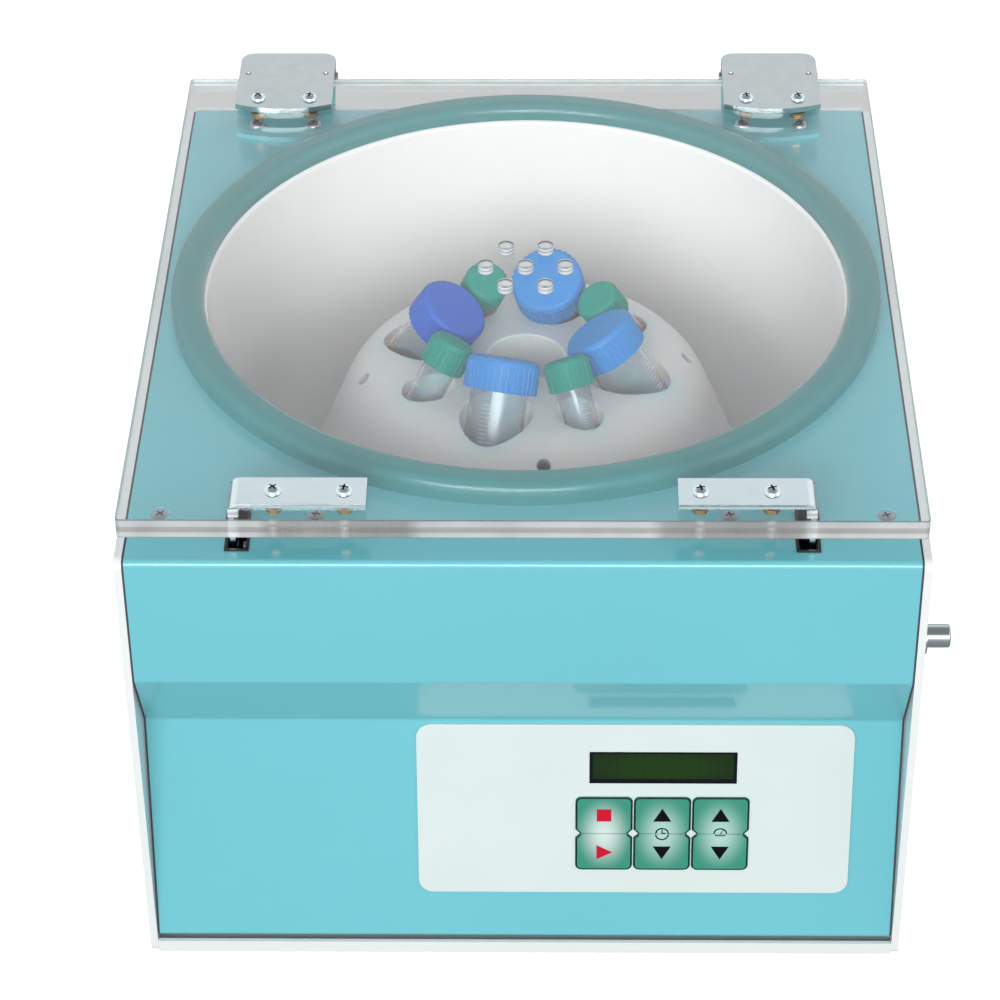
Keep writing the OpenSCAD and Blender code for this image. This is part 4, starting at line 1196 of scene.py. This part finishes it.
@dataclass(frozen=True)
class ScrewHead:
    """The head of one kind of cross-recessed screw.

    Attributes:
        radius: Its radius in millimetres.
        height: How high it stands over its seat.
        sunk: How deep its cone is sunk.
        recess: The recess's reach, as a share of the radius.
        skin: The height under which a face is in the recess, as a share of the dome's.
        spare: How much of the CAD screw's length the new one leaves off.
        lowest: How far over its seat a face in the recess is at least.
    """

    radius: float
    height: float
    sunk: float = 0.05
    recess: float = 0.6
    skin: float = 0.93
    spare: float = 0.2
    lowest: float = 0.05


RAISED_HEAD = ScrewHead(4.0, 2.6)
FLUSH_HEAD = ScrewHead(4.5, 0.9, 1.9)
PANEL_HEAD = ScrewHead(3.6, 2.2)


def screws(node: str, head: ScrewHead, finish: Finish, out: Vector = UPWARD) -> Piece:
    """Puts cross-recessed screws where a CAD node has its screws.

    Args:
        node: The CAD node of the screws.
        head: The kind of their heads.
        finish: What they are made of.
        out: The way that their heads look, along +X, +Y or +Z.

    Returns:
        The new piece.
    """
    group = solids(node)
    turn = Vector(out.to_track_quat("Z", "Y").to_euler())
    places = []
    for solid in group:
        centre = (solid.low + solid.high) / 2
        seat = solid.high.dot(out) - head.height * MM
        places.append((centre + out * (seat - centre.dot(out)), turn))
    whole_length = (group[0].high - group[0].low).dot(out)
    piece = grown(
        node + "_dressed",
        screw_tree(),
        places,
        finish,
        Head_Radius=head.radius * MM,
        Head_Height=head.height * MM,
        Sunk_Depth=head.sunk * MM,
        Shank_Length=whole_length - (head.height + head.spare) * MM,
    )

    def in_recess(face: Face) -> bool:
        """Tells the cross-shaped recess from the rest of a screw."""
        place = min((p for p, _ in places), key=lambda p: (p - face.center).length)
        way = face.center - place
        rise = way.dot(out)
        off_axis = (way - out * rise).length / (head.radius * MM)
        dome = head.height * MM * math.sqrt(max(0.0, 1 - off_axis**2))
        return off_axis < head.recess and head.lowest * MM < rise < dome * head.skin

    # Painted shade: faces in the recess get the dark steel
    painted(piece, [finish, RECESS_PAINTED_SHADE], in_recess)
    return finished(piece, body_of(node), finish, [node])


# Sub-assemblies


@dataclass(frozen=True)
class Casing:
    """The painted sheet-metal body with its gaskets, feet and screws.

    Attributes:
        fold_edge: The rounding of the folded sheets' cut edges, in millimetres.
        panel_edge: The rounding of the side panels' edges.
    """

    fold_edge: float = 0.25
    panel_edge: float = 0.7

    def dress(self) -> None:
        """Replaces the casing's nodes by finished copies."""
        dressed("body_shell", TEAL_ENAMEL, edge=self.fold_edge)
        for side in ("left", "right"):
            dressed(f"{side}_side_panel", WHITE_ENAMEL, edge=self.panel_edge)
        dressed("base_tray", WHITE_ENAMEL, edge=self.fold_edge)
        coated("rear_panel", WHITE_ENAMEL)
        # The black gaskets fill the seams beside the side panels; their black also stands for the
        # shadow gap there, as painted shade
        dressed("side_gaskets", BLACK_RUBBER)
        dressed("feet", BLACK_RUBBER, edge=0.6)
        coated("foot_screws", STEEL)
        screws("top_screws", FLUSH_HEAD, STEEL)
        dressed("side_screws", STEEL, edge=0.1)


@dataclass(frozen=True)
class Chamber:
    """The white bowl and the rounded ring round it."""

    def dress(self) -> None:
        """Replaces the bowl and the ring by smooth copies."""
        dressed("chamber_bowl", BOWL_ENAMEL_PAINTED_SHADE)
        dressed("rim_ring", RING_RUBBER)


@dataclass(frozen=True)
class LidSheet:
    """The clear lid: polished faces, sawn edges and drilled vents.

    Attributes:
        edge: The bevel that the saw's burr was scraped to, in millimetres.
        vents: How far from the rotor's axis the vents reach.
    """

    edge: float = 0.4
    vents: float = 45.0

    def dress(self) -> None:
        """Replaces the lid by a clear copy whose cuts have their own finishes."""
        low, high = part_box("rotor_nut")
        axis = (low + high) / 2

        def cut(face: Face) -> int:
            """Tells the sawn edge and the vents' walls from the sheet's two faces."""
            if abs(face.normal.z) > 0.9:
                return 0
            return 2 if (face.center - axis).to_2d().length < self.vents * MM else 1

        kinds = (LID_ACRYLIC, EDGE_ACRYLIC, DRILLED_ACRYLIC)
        self.map_edge(dressed("lid", *kinds, edge=self.edge, pick=cut))
        dressed("lid_nuts", BRASS, edge=0.15)

    def map_edge(self, piece: Piece) -> None:
        """Lays the UV map that the edge's painted light bands are read from."""
        low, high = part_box("lid")
        # The front edge with its bevels
        front = low.y + 1.5 * self.edge * MM
        layer = piece.data.uv_layers.new(name="edge")
        for face in piece.data.polygons:
            in_front = face.normal.y < -0.5 and face.center.y < front
            for index in face.loop_indices:
                point = piece.data.vertices[piece.data.loops[index].vertex_index].co
                across = point.x / high.x if in_front else 0.0
                layer.data[index].uv = (across, (point.z - low.z) / (high.z - low.z))


@dataclass(frozen=True)
class Hinges:
    """The plated hinge plates on the lid, their leaves below and the pins between them.

    Attributes:
        edge: The rounding of the plates' edges, in millimetres.
        deep: How far below the top a dimple or a hole gets painted shade.
        margin: How far from the plate's outer edges it has to be.
    """

    edge: float = 0.6
    deep: float = 1.2
    margin: float = 2.5

    def dress(self) -> None:
        """Replaces the hinges by finished copies, with new screws."""
        for side in ("left", "right"):
            self.plate(f"{side}_hinge_plate")
            dressed(f"{side}_hinge_base", TEAL_ENAMEL, edge=0.3)
        dressed("hinge_pins", STEEL, edge=0.2)
        screws("hinge_plate_screws", RAISED_HEAD, CHROME)
        screws("hinge_base_screws", RAISED_HEAD, STEEL)

    def plate(self, node: str) -> None:
        """Replaces one plate, whose two dimples and screw holes get a darker steel inside as painted
        shade.
        """
        low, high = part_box(node)

        def is_inside(face: Face) -> bool:
            """Tells a dimple or a hole from the plate's faces and outer edges."""
            x, y, z = face.center
            room = min(x - low.x, high.x - x, y - low.y, high.y - y)
            near_top = high.z - self.deep * MM < z < high.z - 0.01 * MM
            return near_top and room > self.margin * MM

        # Painted shade: the dimples and holes get the darker zinc-plated steel
        dressed(node, NICKEL, STEEL, edge=self.edge, pick=is_inside)


@dataclass(frozen=True)
class Latches:
    """The chromed latch brackets, their lined slots, and the bar and plunger that lock them."""

    def dress(self) -> None:
        """Replaces the latches by finished copies, with new screws."""
        for side in ("left", "right"):
            dressed(f"{side}_lock_bracket", CHROME, edge=0.35)
            dressed(f"{side}_lock_socket", BLACK_PLASTIC, edge=0.15)
        screws("bracket_screws", RAISED_HEAD, CHROME)
        dressed("lock_bar", STEEL, edge=0.3)
        dressed("lock_plunger", NICKEL, edge=0.15)
        dressed("plunger_bushing", NICKEL, edge=0.2)
        coated("bar_guides", STEEL)


@dataclass(frozen=True)
class TubeSize:
    """The print on one size of tube.

    Attributes:
        name: Large or small.
        radius: The tube's outer radius in millimetres.
        pitch: The step between two lines.
        fifths: How many long lines there are.
        first: Where the lowest line is, from the middle of the cap.
    """

    name: str
    radius: float
    pitch: float
    fifths: int
    first: float = -46.0


@dataclass(frozen=True)
class RotorSet:
    """The rotor on its shaft, with its capped tubes.

    Attributes:
        sizes: The two sizes of tube.
        mouth_edge: The rounding of the pockets' mouths, in millimetres.
        mouth: How far from a tube's side its pocket's wall may be.
        well: How far from the axis the middle well's wall may be.
        cap_edge: The rounding of the caps' ribs.
        cap_reach: How far from its middle a cap reaches.
    """

    sizes: tuple[TubeSize, ...] = (TubeSize("large", 14.0, 2.0, 3), TubeSize("small", 8.25, 1.5, 4))
    mouth_edge: float = 0.5
    mouth: float = 4.6
    well: float = 20.0
    cap_edge: float = 0.12
    cap_reach: float = 22.0

    def dress(self) -> None:
        """Replaces the rotor, the tubes and the caps by finished copies."""
        self.rotor()
        dressed("rotor_nut", CHROME, edge=0.3)
        dressed("motor_shaft", STEEL, edge=0.2)
        dressed("rotor_screws", DARK_STEEL, edge=0.15)
        dressed("drive_hub", STEEL, edge=0.3)
        for size in self.sizes:
            dressed(f"{size.name}_tubes", TUBE_PLASTIC)
            self.print_scale(size)
        self.caps()

    def rotor(self) -> None:
        """Replaces the rotor, whose bored pockets and well are coloured whiter than its skin as
        painted light.
        """
        low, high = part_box("rotor_nut")
        axes = [way for size in self.sizes for way in self.tubes(size)]
        axes.append(((low + high) / 2, UPWARD, self.well * MM))

        def is_bored(face: Face) -> bool:
            """Tells a pocket's or the well's wall from the moulded outside."""
            for middle, along, reach in axes:
                way = face.center - middle
                off_axis = way - along * way.dot(along)
                # A wall looks at its axis, and a pocket's foot is close to it
                faces_axis = off_axis.normalized().dot(face.normal) < -0.2
                if off_axis.length < reach and (faces_axis or off_axis.length < reach / 4):
                    return True
            return False

        # Painted light: the bored walls get a whiter colour than the moulded skin
        dressed("rotor", ROTOR_PLASTIC, BORED_PLASTIC_PAINTED_LIGHT, edge=self.mouth_edge, pick=is_bored)

    def tubes(self, size: TubeSize) -> list[tuple[Vector, Vector, float]]:
        """Gives a point on each tube's axis, the way up it and the reach of its pocket's wall."""
        caps = solids(f"{size.name}_caps")
        found = []
        for tube in solids(f"{size.name}_tubes"):
            cap = min(caps, key=lambda solid: (solid.middle - tube.middle).length)
            along = (cap.middle - tube.middle).normalized()
            found.append((cap.middle, along, (size.radius + self.mouth) * MM))
        return found

    def caps(self) -> None:
        """Colours the caps, of which the one on the left is violet."""
        left = min(solids("large_caps"), key=lambda solid: solid.middle.x)

        def is_left(face: Face) -> bool:
            """Tells the left cap from the others."""
            return (face.center - left.middle).length < self.cap_reach * MM

        dressed("large_caps", BLUE_PLASTIC, VIOLET_PLASTIC, edge=self.cap_edge, pick=is_left)
        dressed("small_caps", GREEN_PLASTIC, edge=self.cap_edge)

    def print_scale(self, size: TubeSize) -> None:
        """Prints the scale on each tube of one size, on its upper side."""
        places = []
        for middle, along, _ in self.tubes(size):
            across = UPWARD.cross(along).normalized()
            upper = across.cross(along) * -1
            turn = Matrix((upper, along.cross(upper), along)).transposed()
            places.append((middle, Vector(turn.to_euler())))
        piece = grown(
            f"{size.name}_tube_scales",
            scale_tree(),
            places,
            LINE_INK,
            Tube_Radius=size.radius * MM,
            First_Line=size.first * MM,
            Pitch=size.pitch * MM,
            Long_Count=size.fifths,
        )
        finished(piece, "rotor", LINE_INK)


@dataclass(frozen=True)
class PanelFace:
    """The leaning plane of the control panel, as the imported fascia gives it.

    Attributes:
        middle: The middle of the fascia's front face.
        up: The way up the slope.
        out: The way out of it.
    """

    middle: Vector
    up: Vector
    out: Vector

    @classmethod
    def of(cls, node: str) -> "PanelFace":
        """Finds the plane of a CAD node that leans back from the front."""
        mesh = merged_mesh(node)
        front = max((f for f in mesh.faces if f.normal.y < -0.5), key=lambda f: f.calc_area())
        out = front.normal.copy()
        up = out.cross(ACROSS)
        depth = max(v.co.dot(out) for v in mesh.verts)
        xs = [v.co.x for v in mesh.verts]
        heights = [v.co.dot(up) for v in mesh.verts]
        mesh.free()
        half_way = ACROSS * (min(xs) + max(xs)) / 2 + up * (min(heights) + max(heights)) / 2
        return cls(half_way + out * depth, up, out)

    def put(self, point: Vector) -> Vector:
        """Takes a point (across, up the slope, out) to the row frame."""
        return self.middle + Vector((point.x, 0, 0)) + self.up * point.y + self.out * point.z

    def flat(self, point: Vector) -> Vector:
        """Takes a point of the row frame to (across, up the slope, out)."""
        way = point - self.middle
        return Vector((way.x, way.dot(self.up), way.dot(self.out)))

    def front_of(self, node: str) -> tuple[Outline, Vector, Vector, float]:
        """Finds a node's front face on this plane.

        Args:
            node: The CAD node's name.

        Returns:
            Its outline, anticlockwise, its lowest and highest corner, and how far out it is.
        """
        mesh = merged_mesh(node, whole_faces=True)
        faces = (f for f in mesh.faces if f.normal.dot(self.out) > 0.9)
        front = max(faces, key=lambda f: f.calc_area())
        points = [self.flat(loop.vert.co) for loop in front.loops]
        mesh.free()
        xs, ys = [p.x for p in points], [p.y for p in points]
        low, high = Vector((min(xs), min(ys))), Vector((max(xs), max(ys)))
        return [(p.x, p.y) for p in points], low, high, points[0].z

    def map_pad(self, piece: Piece, middle: Vector, reach: Vector) -> None:
        """Lays the UV map "pad" on a piece: 0 at a middle, 1 as far off as reach says."""
        layer = piece.data.uv_layers.new(name="pad")
        for loop in piece.data.loops:
            way = self.flat(piece.data.vertices[loop.vertex_index].co).to_2d() - middle
            layer.data[loop.index].uv = (way.x / reach.x, way.y / reach.y)


class Sign(Enum):
    """What a key's print shows, as corners of a shape two units wide."""

    SQUARE = ((-0.8, -0.8), (0.8, -0.8), (0.8, 0.8), (-0.8, 0.8))
    RIGHT = ((-0.8, -0.95), (0.95, 0.0), (-0.8, 0.95))
    UP = ((-1.0, -0.8), (1.0, -0.8), (0.0, 0.9))
    DOWN = ((-1.0, 0.8), (0.0, -0.9), (1.0, 0.8))


class Dial(Enum):
    """The sign between a pad's two keys."""

    NONE = "none"
    CLOCK = "clock"
    GAUGE = "gauge"


@dataclass(frozen=True)
class KeyPrint:
    """What is printed on one key.

    Attributes:
        node: The key's CAD node.
        sign: Its own sign.
        ink: The sign's ink.
        dial: The sign that it shares with the pad's other key.
        upper: Whether it is the pad's upper key.
    """

    node: str
    sign: Sign
    ink: Finish
    dial: Dial
    upper: bool


KEYS = (
    KeyPrint("key_stop", Sign.SQUARE, RED_INK, Dial.NONE, True),
    KeyPrint("key_start", Sign.RIGHT, RED_INK, Dial.NONE, False),
    KeyPrint("key_time_up", Sign.UP, BLACK_INK, Dial.CLOCK, True),
    KeyPrint("key_time_down", Sign.DOWN, BLACK_INK, Dial.CLOCK, False),
    KeyPrint("key_speed_up", Sign.UP, BLACK_INK, Dial.GAUGE, True),
    KeyPrint("key_speed_down", Sign.DOWN, BLACK_INK, Dial.GAUGE, False),
)


@dataclass(frozen=True)
class ControlPanel:
    """The fascia, the display and the six keys with their prints.

    Attributes:
        film: How far ink stands over a key, in millimetres.
        border: The width of the dark line along a key's edge.
        sign_half: Half the width of a key's sign.
        sign_place: How far a sign's middle is from the pad's middle.
        dial_radius: The radius of the clock and of the gauge.
        stroke: The width of their outlines.
        thin: The width of their hands.
        foot_gap: How far under the gauge its foot line starts.
        needle: How far the gauge's needle is turned up, in degrees.
        minute: The length of the clock's long hand, as a share of the radius.
        hour: The length of its short hand.
        gauge: The length of the gauge's needle and of half its foot line.
        point: The width of the needle's tip, as a share of its foot's.
        rim: The display's dark rim at its sides.
        rim_foot: The rim along the display's lower edge.
        rim_top: The rim along its upper edge.
    """

    film: float = 0.03
    border: float = 0.65
    sign_half: float = 4.3
    sign_place: float = 10.3
    dial_radius: float = 3.3
    stroke: float = 0.7
    thin: float = 0.56
    foot_gap: float = 0.3
    needle: float = 55.0
    minute: float = 0.68
    hour: float = 0.5
    gauge: float = 0.75
    point: float = 0.4
    rim: float = 1.5
    rim_foot: float = 2.4
    rim_top: float = 1.05

    def dress(self) -> None:
        """Builds the panel's pieces."""
        face = PanelFace.of("fascia_plate")
        dressed("fascia_plate", FASCIA_FILM, edge=0.25)
        self.display(face)
        for key in KEYS:
            self.key(face, key)
        coated("key_mat", GREY_RUBBER)
        coated("control_board", CIRCUIT_BOARD)
        coated("display_module", BLACK_PLASTIC)

    def inked(self, height: float) -> Pair:
        """Gives the heights of an ink's underside and top on a face so far out."""
        return height - self.film * MM, height + self.film * MM

    def key(self, face: PanelFace, key: KeyPrint) -> None:
        """Builds one key's film and the ink on it."""
        outline, low, high, height = face.front_of(key.node)
        foot = low.y if key.upper else high.y
        middle = Vector(((low.x + high.x) / 2, foot))
        cover = STOP_FILM if key.dial is Dial.NONE else KEY_FILM
        piece = dressed(key.node, cover, edge=0.2)
        face.map_pad(piece, middle, Vector(((high.x - low.x) / 2, high.y - low.y)))
        span = self.inked(height)
        way = 1 if key.upper else -1
        place = Vector((middle.x, foot + way * self.sign_place * MM))
        half = self.sign_half * MM
        corners = [(place.x + x * half, place.y + y * half) for x, y in key.sign.value]
        sign = slab(key.node + "_sign", corners, span, face.put)
        sign.data.materials.append(key.ink.material())

        def put(point: Vector) -> Vector:
            """Takes a point of the dial's upper half to the key."""
            return face.put(Vector((point.x + middle.x, way * point.y + middle.y, point.z)))

        dial = self.dial(key, span, put)
        inks = [self.edge_line(face, outline, foot, span), sign, *dial]
        finished(joined(key.node + "_print", inks), key.node, key.ink)

    def edge_line(self, face: PanelFace, outline: Outline, foot: float, span: Pair) -> Piece:
        """Inks a line along a key's edge, all but where it meets the pad's other key."""
        count = len(outline)
        on_foot = [abs(y - foot) < 0.05 * MM for _, y in outline]
        start = next(i for i in range(count) if on_foot[i] and not on_foot[(i + 1) % count])
        line = [outline[(start + i) % count] for i in range(count)]
        line = line[: count - sum(on_foot) + 2]
        strip = band("edge_line", line, inset(line, self.border * MM), span, face.put)
        strip.data.materials.append(DARK_INK.material())
        return strip

    def hands(self, key: KeyPrint) -> list[Outline]:
        """Gives the outlines of the clock's hands, or of the gauge's needle and its foot."""
        radius, thin, gap = self.dial_radius * MM, self.thin * MM, self.foot_gap * MM
        if key.dial is Dial.CLOCK and key.upper:
            minute = rectangle(-thin / 2, 0, thin / 2, radius * self.minute)
            return [minute, rectangle(0, 0, radius * self.hour, thin)]
        if key.dial is Dial.GAUGE and key.upper:
            lean = math.radians(self.needle)
            tip = Vector((math.cos(lean), math.sin(lean))) * radius * self.gauge
            side = Vector((math.sin(lean), -math.cos(lean))) * thin / 2
            end = side * self.point
            return [[tuple(p) for p in (-side, side, tip + end, tip - end)]]
        if key.dial is Dial.GAUGE:
            half = radius * self.gauge
            return [rectangle(-half, gap, half, gap + thin)]
        return []

    def dial(self, key: KeyPrint, span: Pair, put: Put) -> list[Piece]:
        """Draws one key's half of the clock or the gauge."""
        radius, stroke = self.dial_radius * MM, self.stroke * MM
        pieces = []
        if key.dial is Dial.CLOCK or (key.dial is Dial.GAUGE and key.upper):
            # The ring stops just short of the line between the keys
            outer, inner = arc(radius, 3, 177), arc(radius - stroke, 4, 176)
            pieces.append(band("dial_ring", outer, inner, span, put))
        pieces.extend(slab("dial_line", hand, span, put) for hand in self.hands(key))
        for piece in pieces:
            piece.data.materials.append(BLACK_INK.material())
        return pieces

    def display(self, face: PanelFace) -> None:
        """Builds the display window with its dark rim."""
        _, low, high, height = face.front_of("display_window")
        face.map_pad(dressed("display_window", DISPLAY, edge=0.1), low, high - low)
        side, foot, top = self.rim * MM, self.rim_foot * MM, self.rim_top * MM
        outer = rectangle(*low, *high)
        inner = rectangle(low.x + side, low.y + foot, high.x - side, high.y - top)
        rim = band("display_rim", outer, inner, self.inked(height), face.put, closed=True)
        finished(rim, "housing", DISPLAY_RIM)


@dataclass(frozen=True)
class RearFittings:
    """The mains inlet, the power switch, the fuse holder and the rear screws."""

    def dress(self) -> None:
        """Replaces the rear fittings by finished copies."""
        for node in ("mains_inlet", "switch_frame", "rocker_switch", "fuse_holder"):
            dressed(node, BLACK_PLASTIC, edge=0.3)
        screws("rear_screws", PANEL_HEAD, STEEL, REARWARD)


@dataclass(frozen=True)
class Drive:
    """The motor on its rubber mounts, and the power board beside it."""

    def dress(self) -> None:
        """Gives the drive's nodes, which the casing hides, their finishes."""
        coated("motor", DARK_STEEL)
        coated("motor_plate", STEEL)
        coated("motor_mounts", BLACK_RUBBER)
        coated("motor_posts", STEEL)
        coated("power_board", CIRCUIT_BOARD)


@dataclass(frozen=True)
class Lamp:
    """One soft lamp.

    Attributes:
        name: The lamp's name.
        place: Where it hangs, in metres.
        width: Its width.
        height: Its height.
        power: Its power in watts.
    """

    name: str
    place: Triple
    width: float
    height: float
    power: float


@dataclass(frozen=True)
class Studio:
    """The camera, the pale floor and the soft lamps.

    Attributes:
        eye: The camera's place in metres.
        azimuth: How far it is turned to the left, in degrees.
        elevation: How far it looks down.
        roll: How far it is rolled clockwise.
        lens: Its focal length in millimetres on a sensor 36 mm wide.
        aim: Where the lamps point.
        lamps: The lamps.
        sky: The strength of the pale room around.
        bounces: How often light may bounce.
        floor_size: The width of the floor.
        dusk: Where the room starts to darken and is darkest, from 0 below to 1 above.
        overhead: The colour overhead, sRGB hex.
    """

    eye: Triple = (0.0071, -1.3331, 1.1496)
    azimuth: float = 1.14
    elevation: float = 37.46
    roll: float = -0.58
    lens: float = 118.7
    aim: Triple = (0.0, 0.0, 0.15)
    lamps: tuple[Lamp, ...] = (
        Lamp("key_lamp", (-0.35, -2.6, 1.35), 2.2, 1.2, 62.0),
        Lamp("side_lamp", (2.2, -0.9, 0.9), 1.2, 1.2, 6.0),
    )
    sky: float = 0.95
    bounces: int = 40
    floor_size: float = 12.0
    dusk: Pair = (0.45, 0.95)
    overhead: str = "#9A9B9D"

    def build(self) -> None:
        """Sets up the studio."""
        self.camera()
        self.floor()
        self.world()
        for lamp in self.lamps:
            self.hang(lamp)
        scene = bpy.context.scene
        scene.view_settings.view_transform = "Standard"
        # Light that enters the lid's edge bounces between its faces many times
        scene.cycles.max_bounces = self.bounces
        scene.cycles.transmission_bounces = self.bounces

    def camera(self) -> None:
        """Places the camera."""
        turn, tilt, roll = (math.radians(a) for a in (self.azimuth, self.elevation, self.roll))
        right = Vector((math.cos(turn), math.sin(turn), 0))
        level = UPWARD.cross(right)
        ahead = level * math.cos(tilt) - UPWARD * math.sin(tilt)
        up = right.cross(ahead)
        across = right * math.cos(roll) + up * math.sin(roll)
        above = up * math.cos(roll) - right * math.sin(roll)
        data = bpy.data.cameras.new("camera")
        data.lens = self.lens
        data.sensor_width = 36
        data.clip_start = 0.05
        data.clip_end = 50
        camera = bpy.data.objects.new("camera", data)
        turned = Matrix((across, above, -ahead)).transposed().to_4x4()
        camera.matrix_world = Matrix.Translation(self.eye) @ turned
        bpy.context.scene.collection.objects.link(camera)
        bpy.context.scene.camera = camera

    def floor(self) -> None:
        """Lays the pale floor under the feet."""
        half = self.floor_size / 2
        corners = [(x, y, 0) for x, y in rectangle(-half, -half, half, half)]
        mesh = bpy.data.meshes.new("floor")
        mesh.from_pydata(corners, [], [(0, 1, 2, 3)])
        mesh.materials.append(FLOOR_PAPER.material())
        new_piece("floor", mesh)

    def world(self) -> None:
        """Fills the room with pale light, darker overhead."""
        world = bpy.data.worlds.new("room")
        room = Shading(world, "Generated")
        height = room.ranged(room.part(room.place, "Z"), (0.0, 1.0), self.dusk, eased=True)
        colour = room.mixed(height, "#FFFFFF", self.overhead)
        light = room.add("ShaderNodeBackground", {"Color": colour, "Strength": self.sky})
        room.add("ShaderNodeOutputWorld", {"Surface": light})
        bpy.context.scene.world = world

    def hang(self, lamp: Lamp) -> None:
        """Hangs one soft lamp, aimed at the machine."""
        data = bpy.data.lights.new(lamp.name, "AREA")
        data.shape = "RECTANGLE"
        data.size = lamp.width
        data.size_y = lamp.height
        data.energy = lamp.power
        thing = bpy.data.objects.new(lamp.name, data)
        place = Vector(lamp.place)
        turned = (Vector(self.aim) - place).to_track_quat("-Z", "Y").to_matrix().to_4x4()
        thing.matrix_world = Matrix.Translation(place) @ turned
        bpy.context.scene.collection.objects.link(thing)


def main() -> None:
    """Loads the frame and dresses it, sub-assembly by sub-assembly."""
    logging.basicConfig(level=logging.INFO, format="%(message)s")
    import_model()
    for part in (
        Casing(),
        Chamber(),
        LidSheet(),
        Hinges(),
        Latches(),
        RotorSet(),
        ControlPanel(),
        RearFittings(),
        Drive(),
    ):
        log.info("%s", type(part).__name__)
        part.dress()
    Studio().build()


if __name__ == "__main__":
    main()
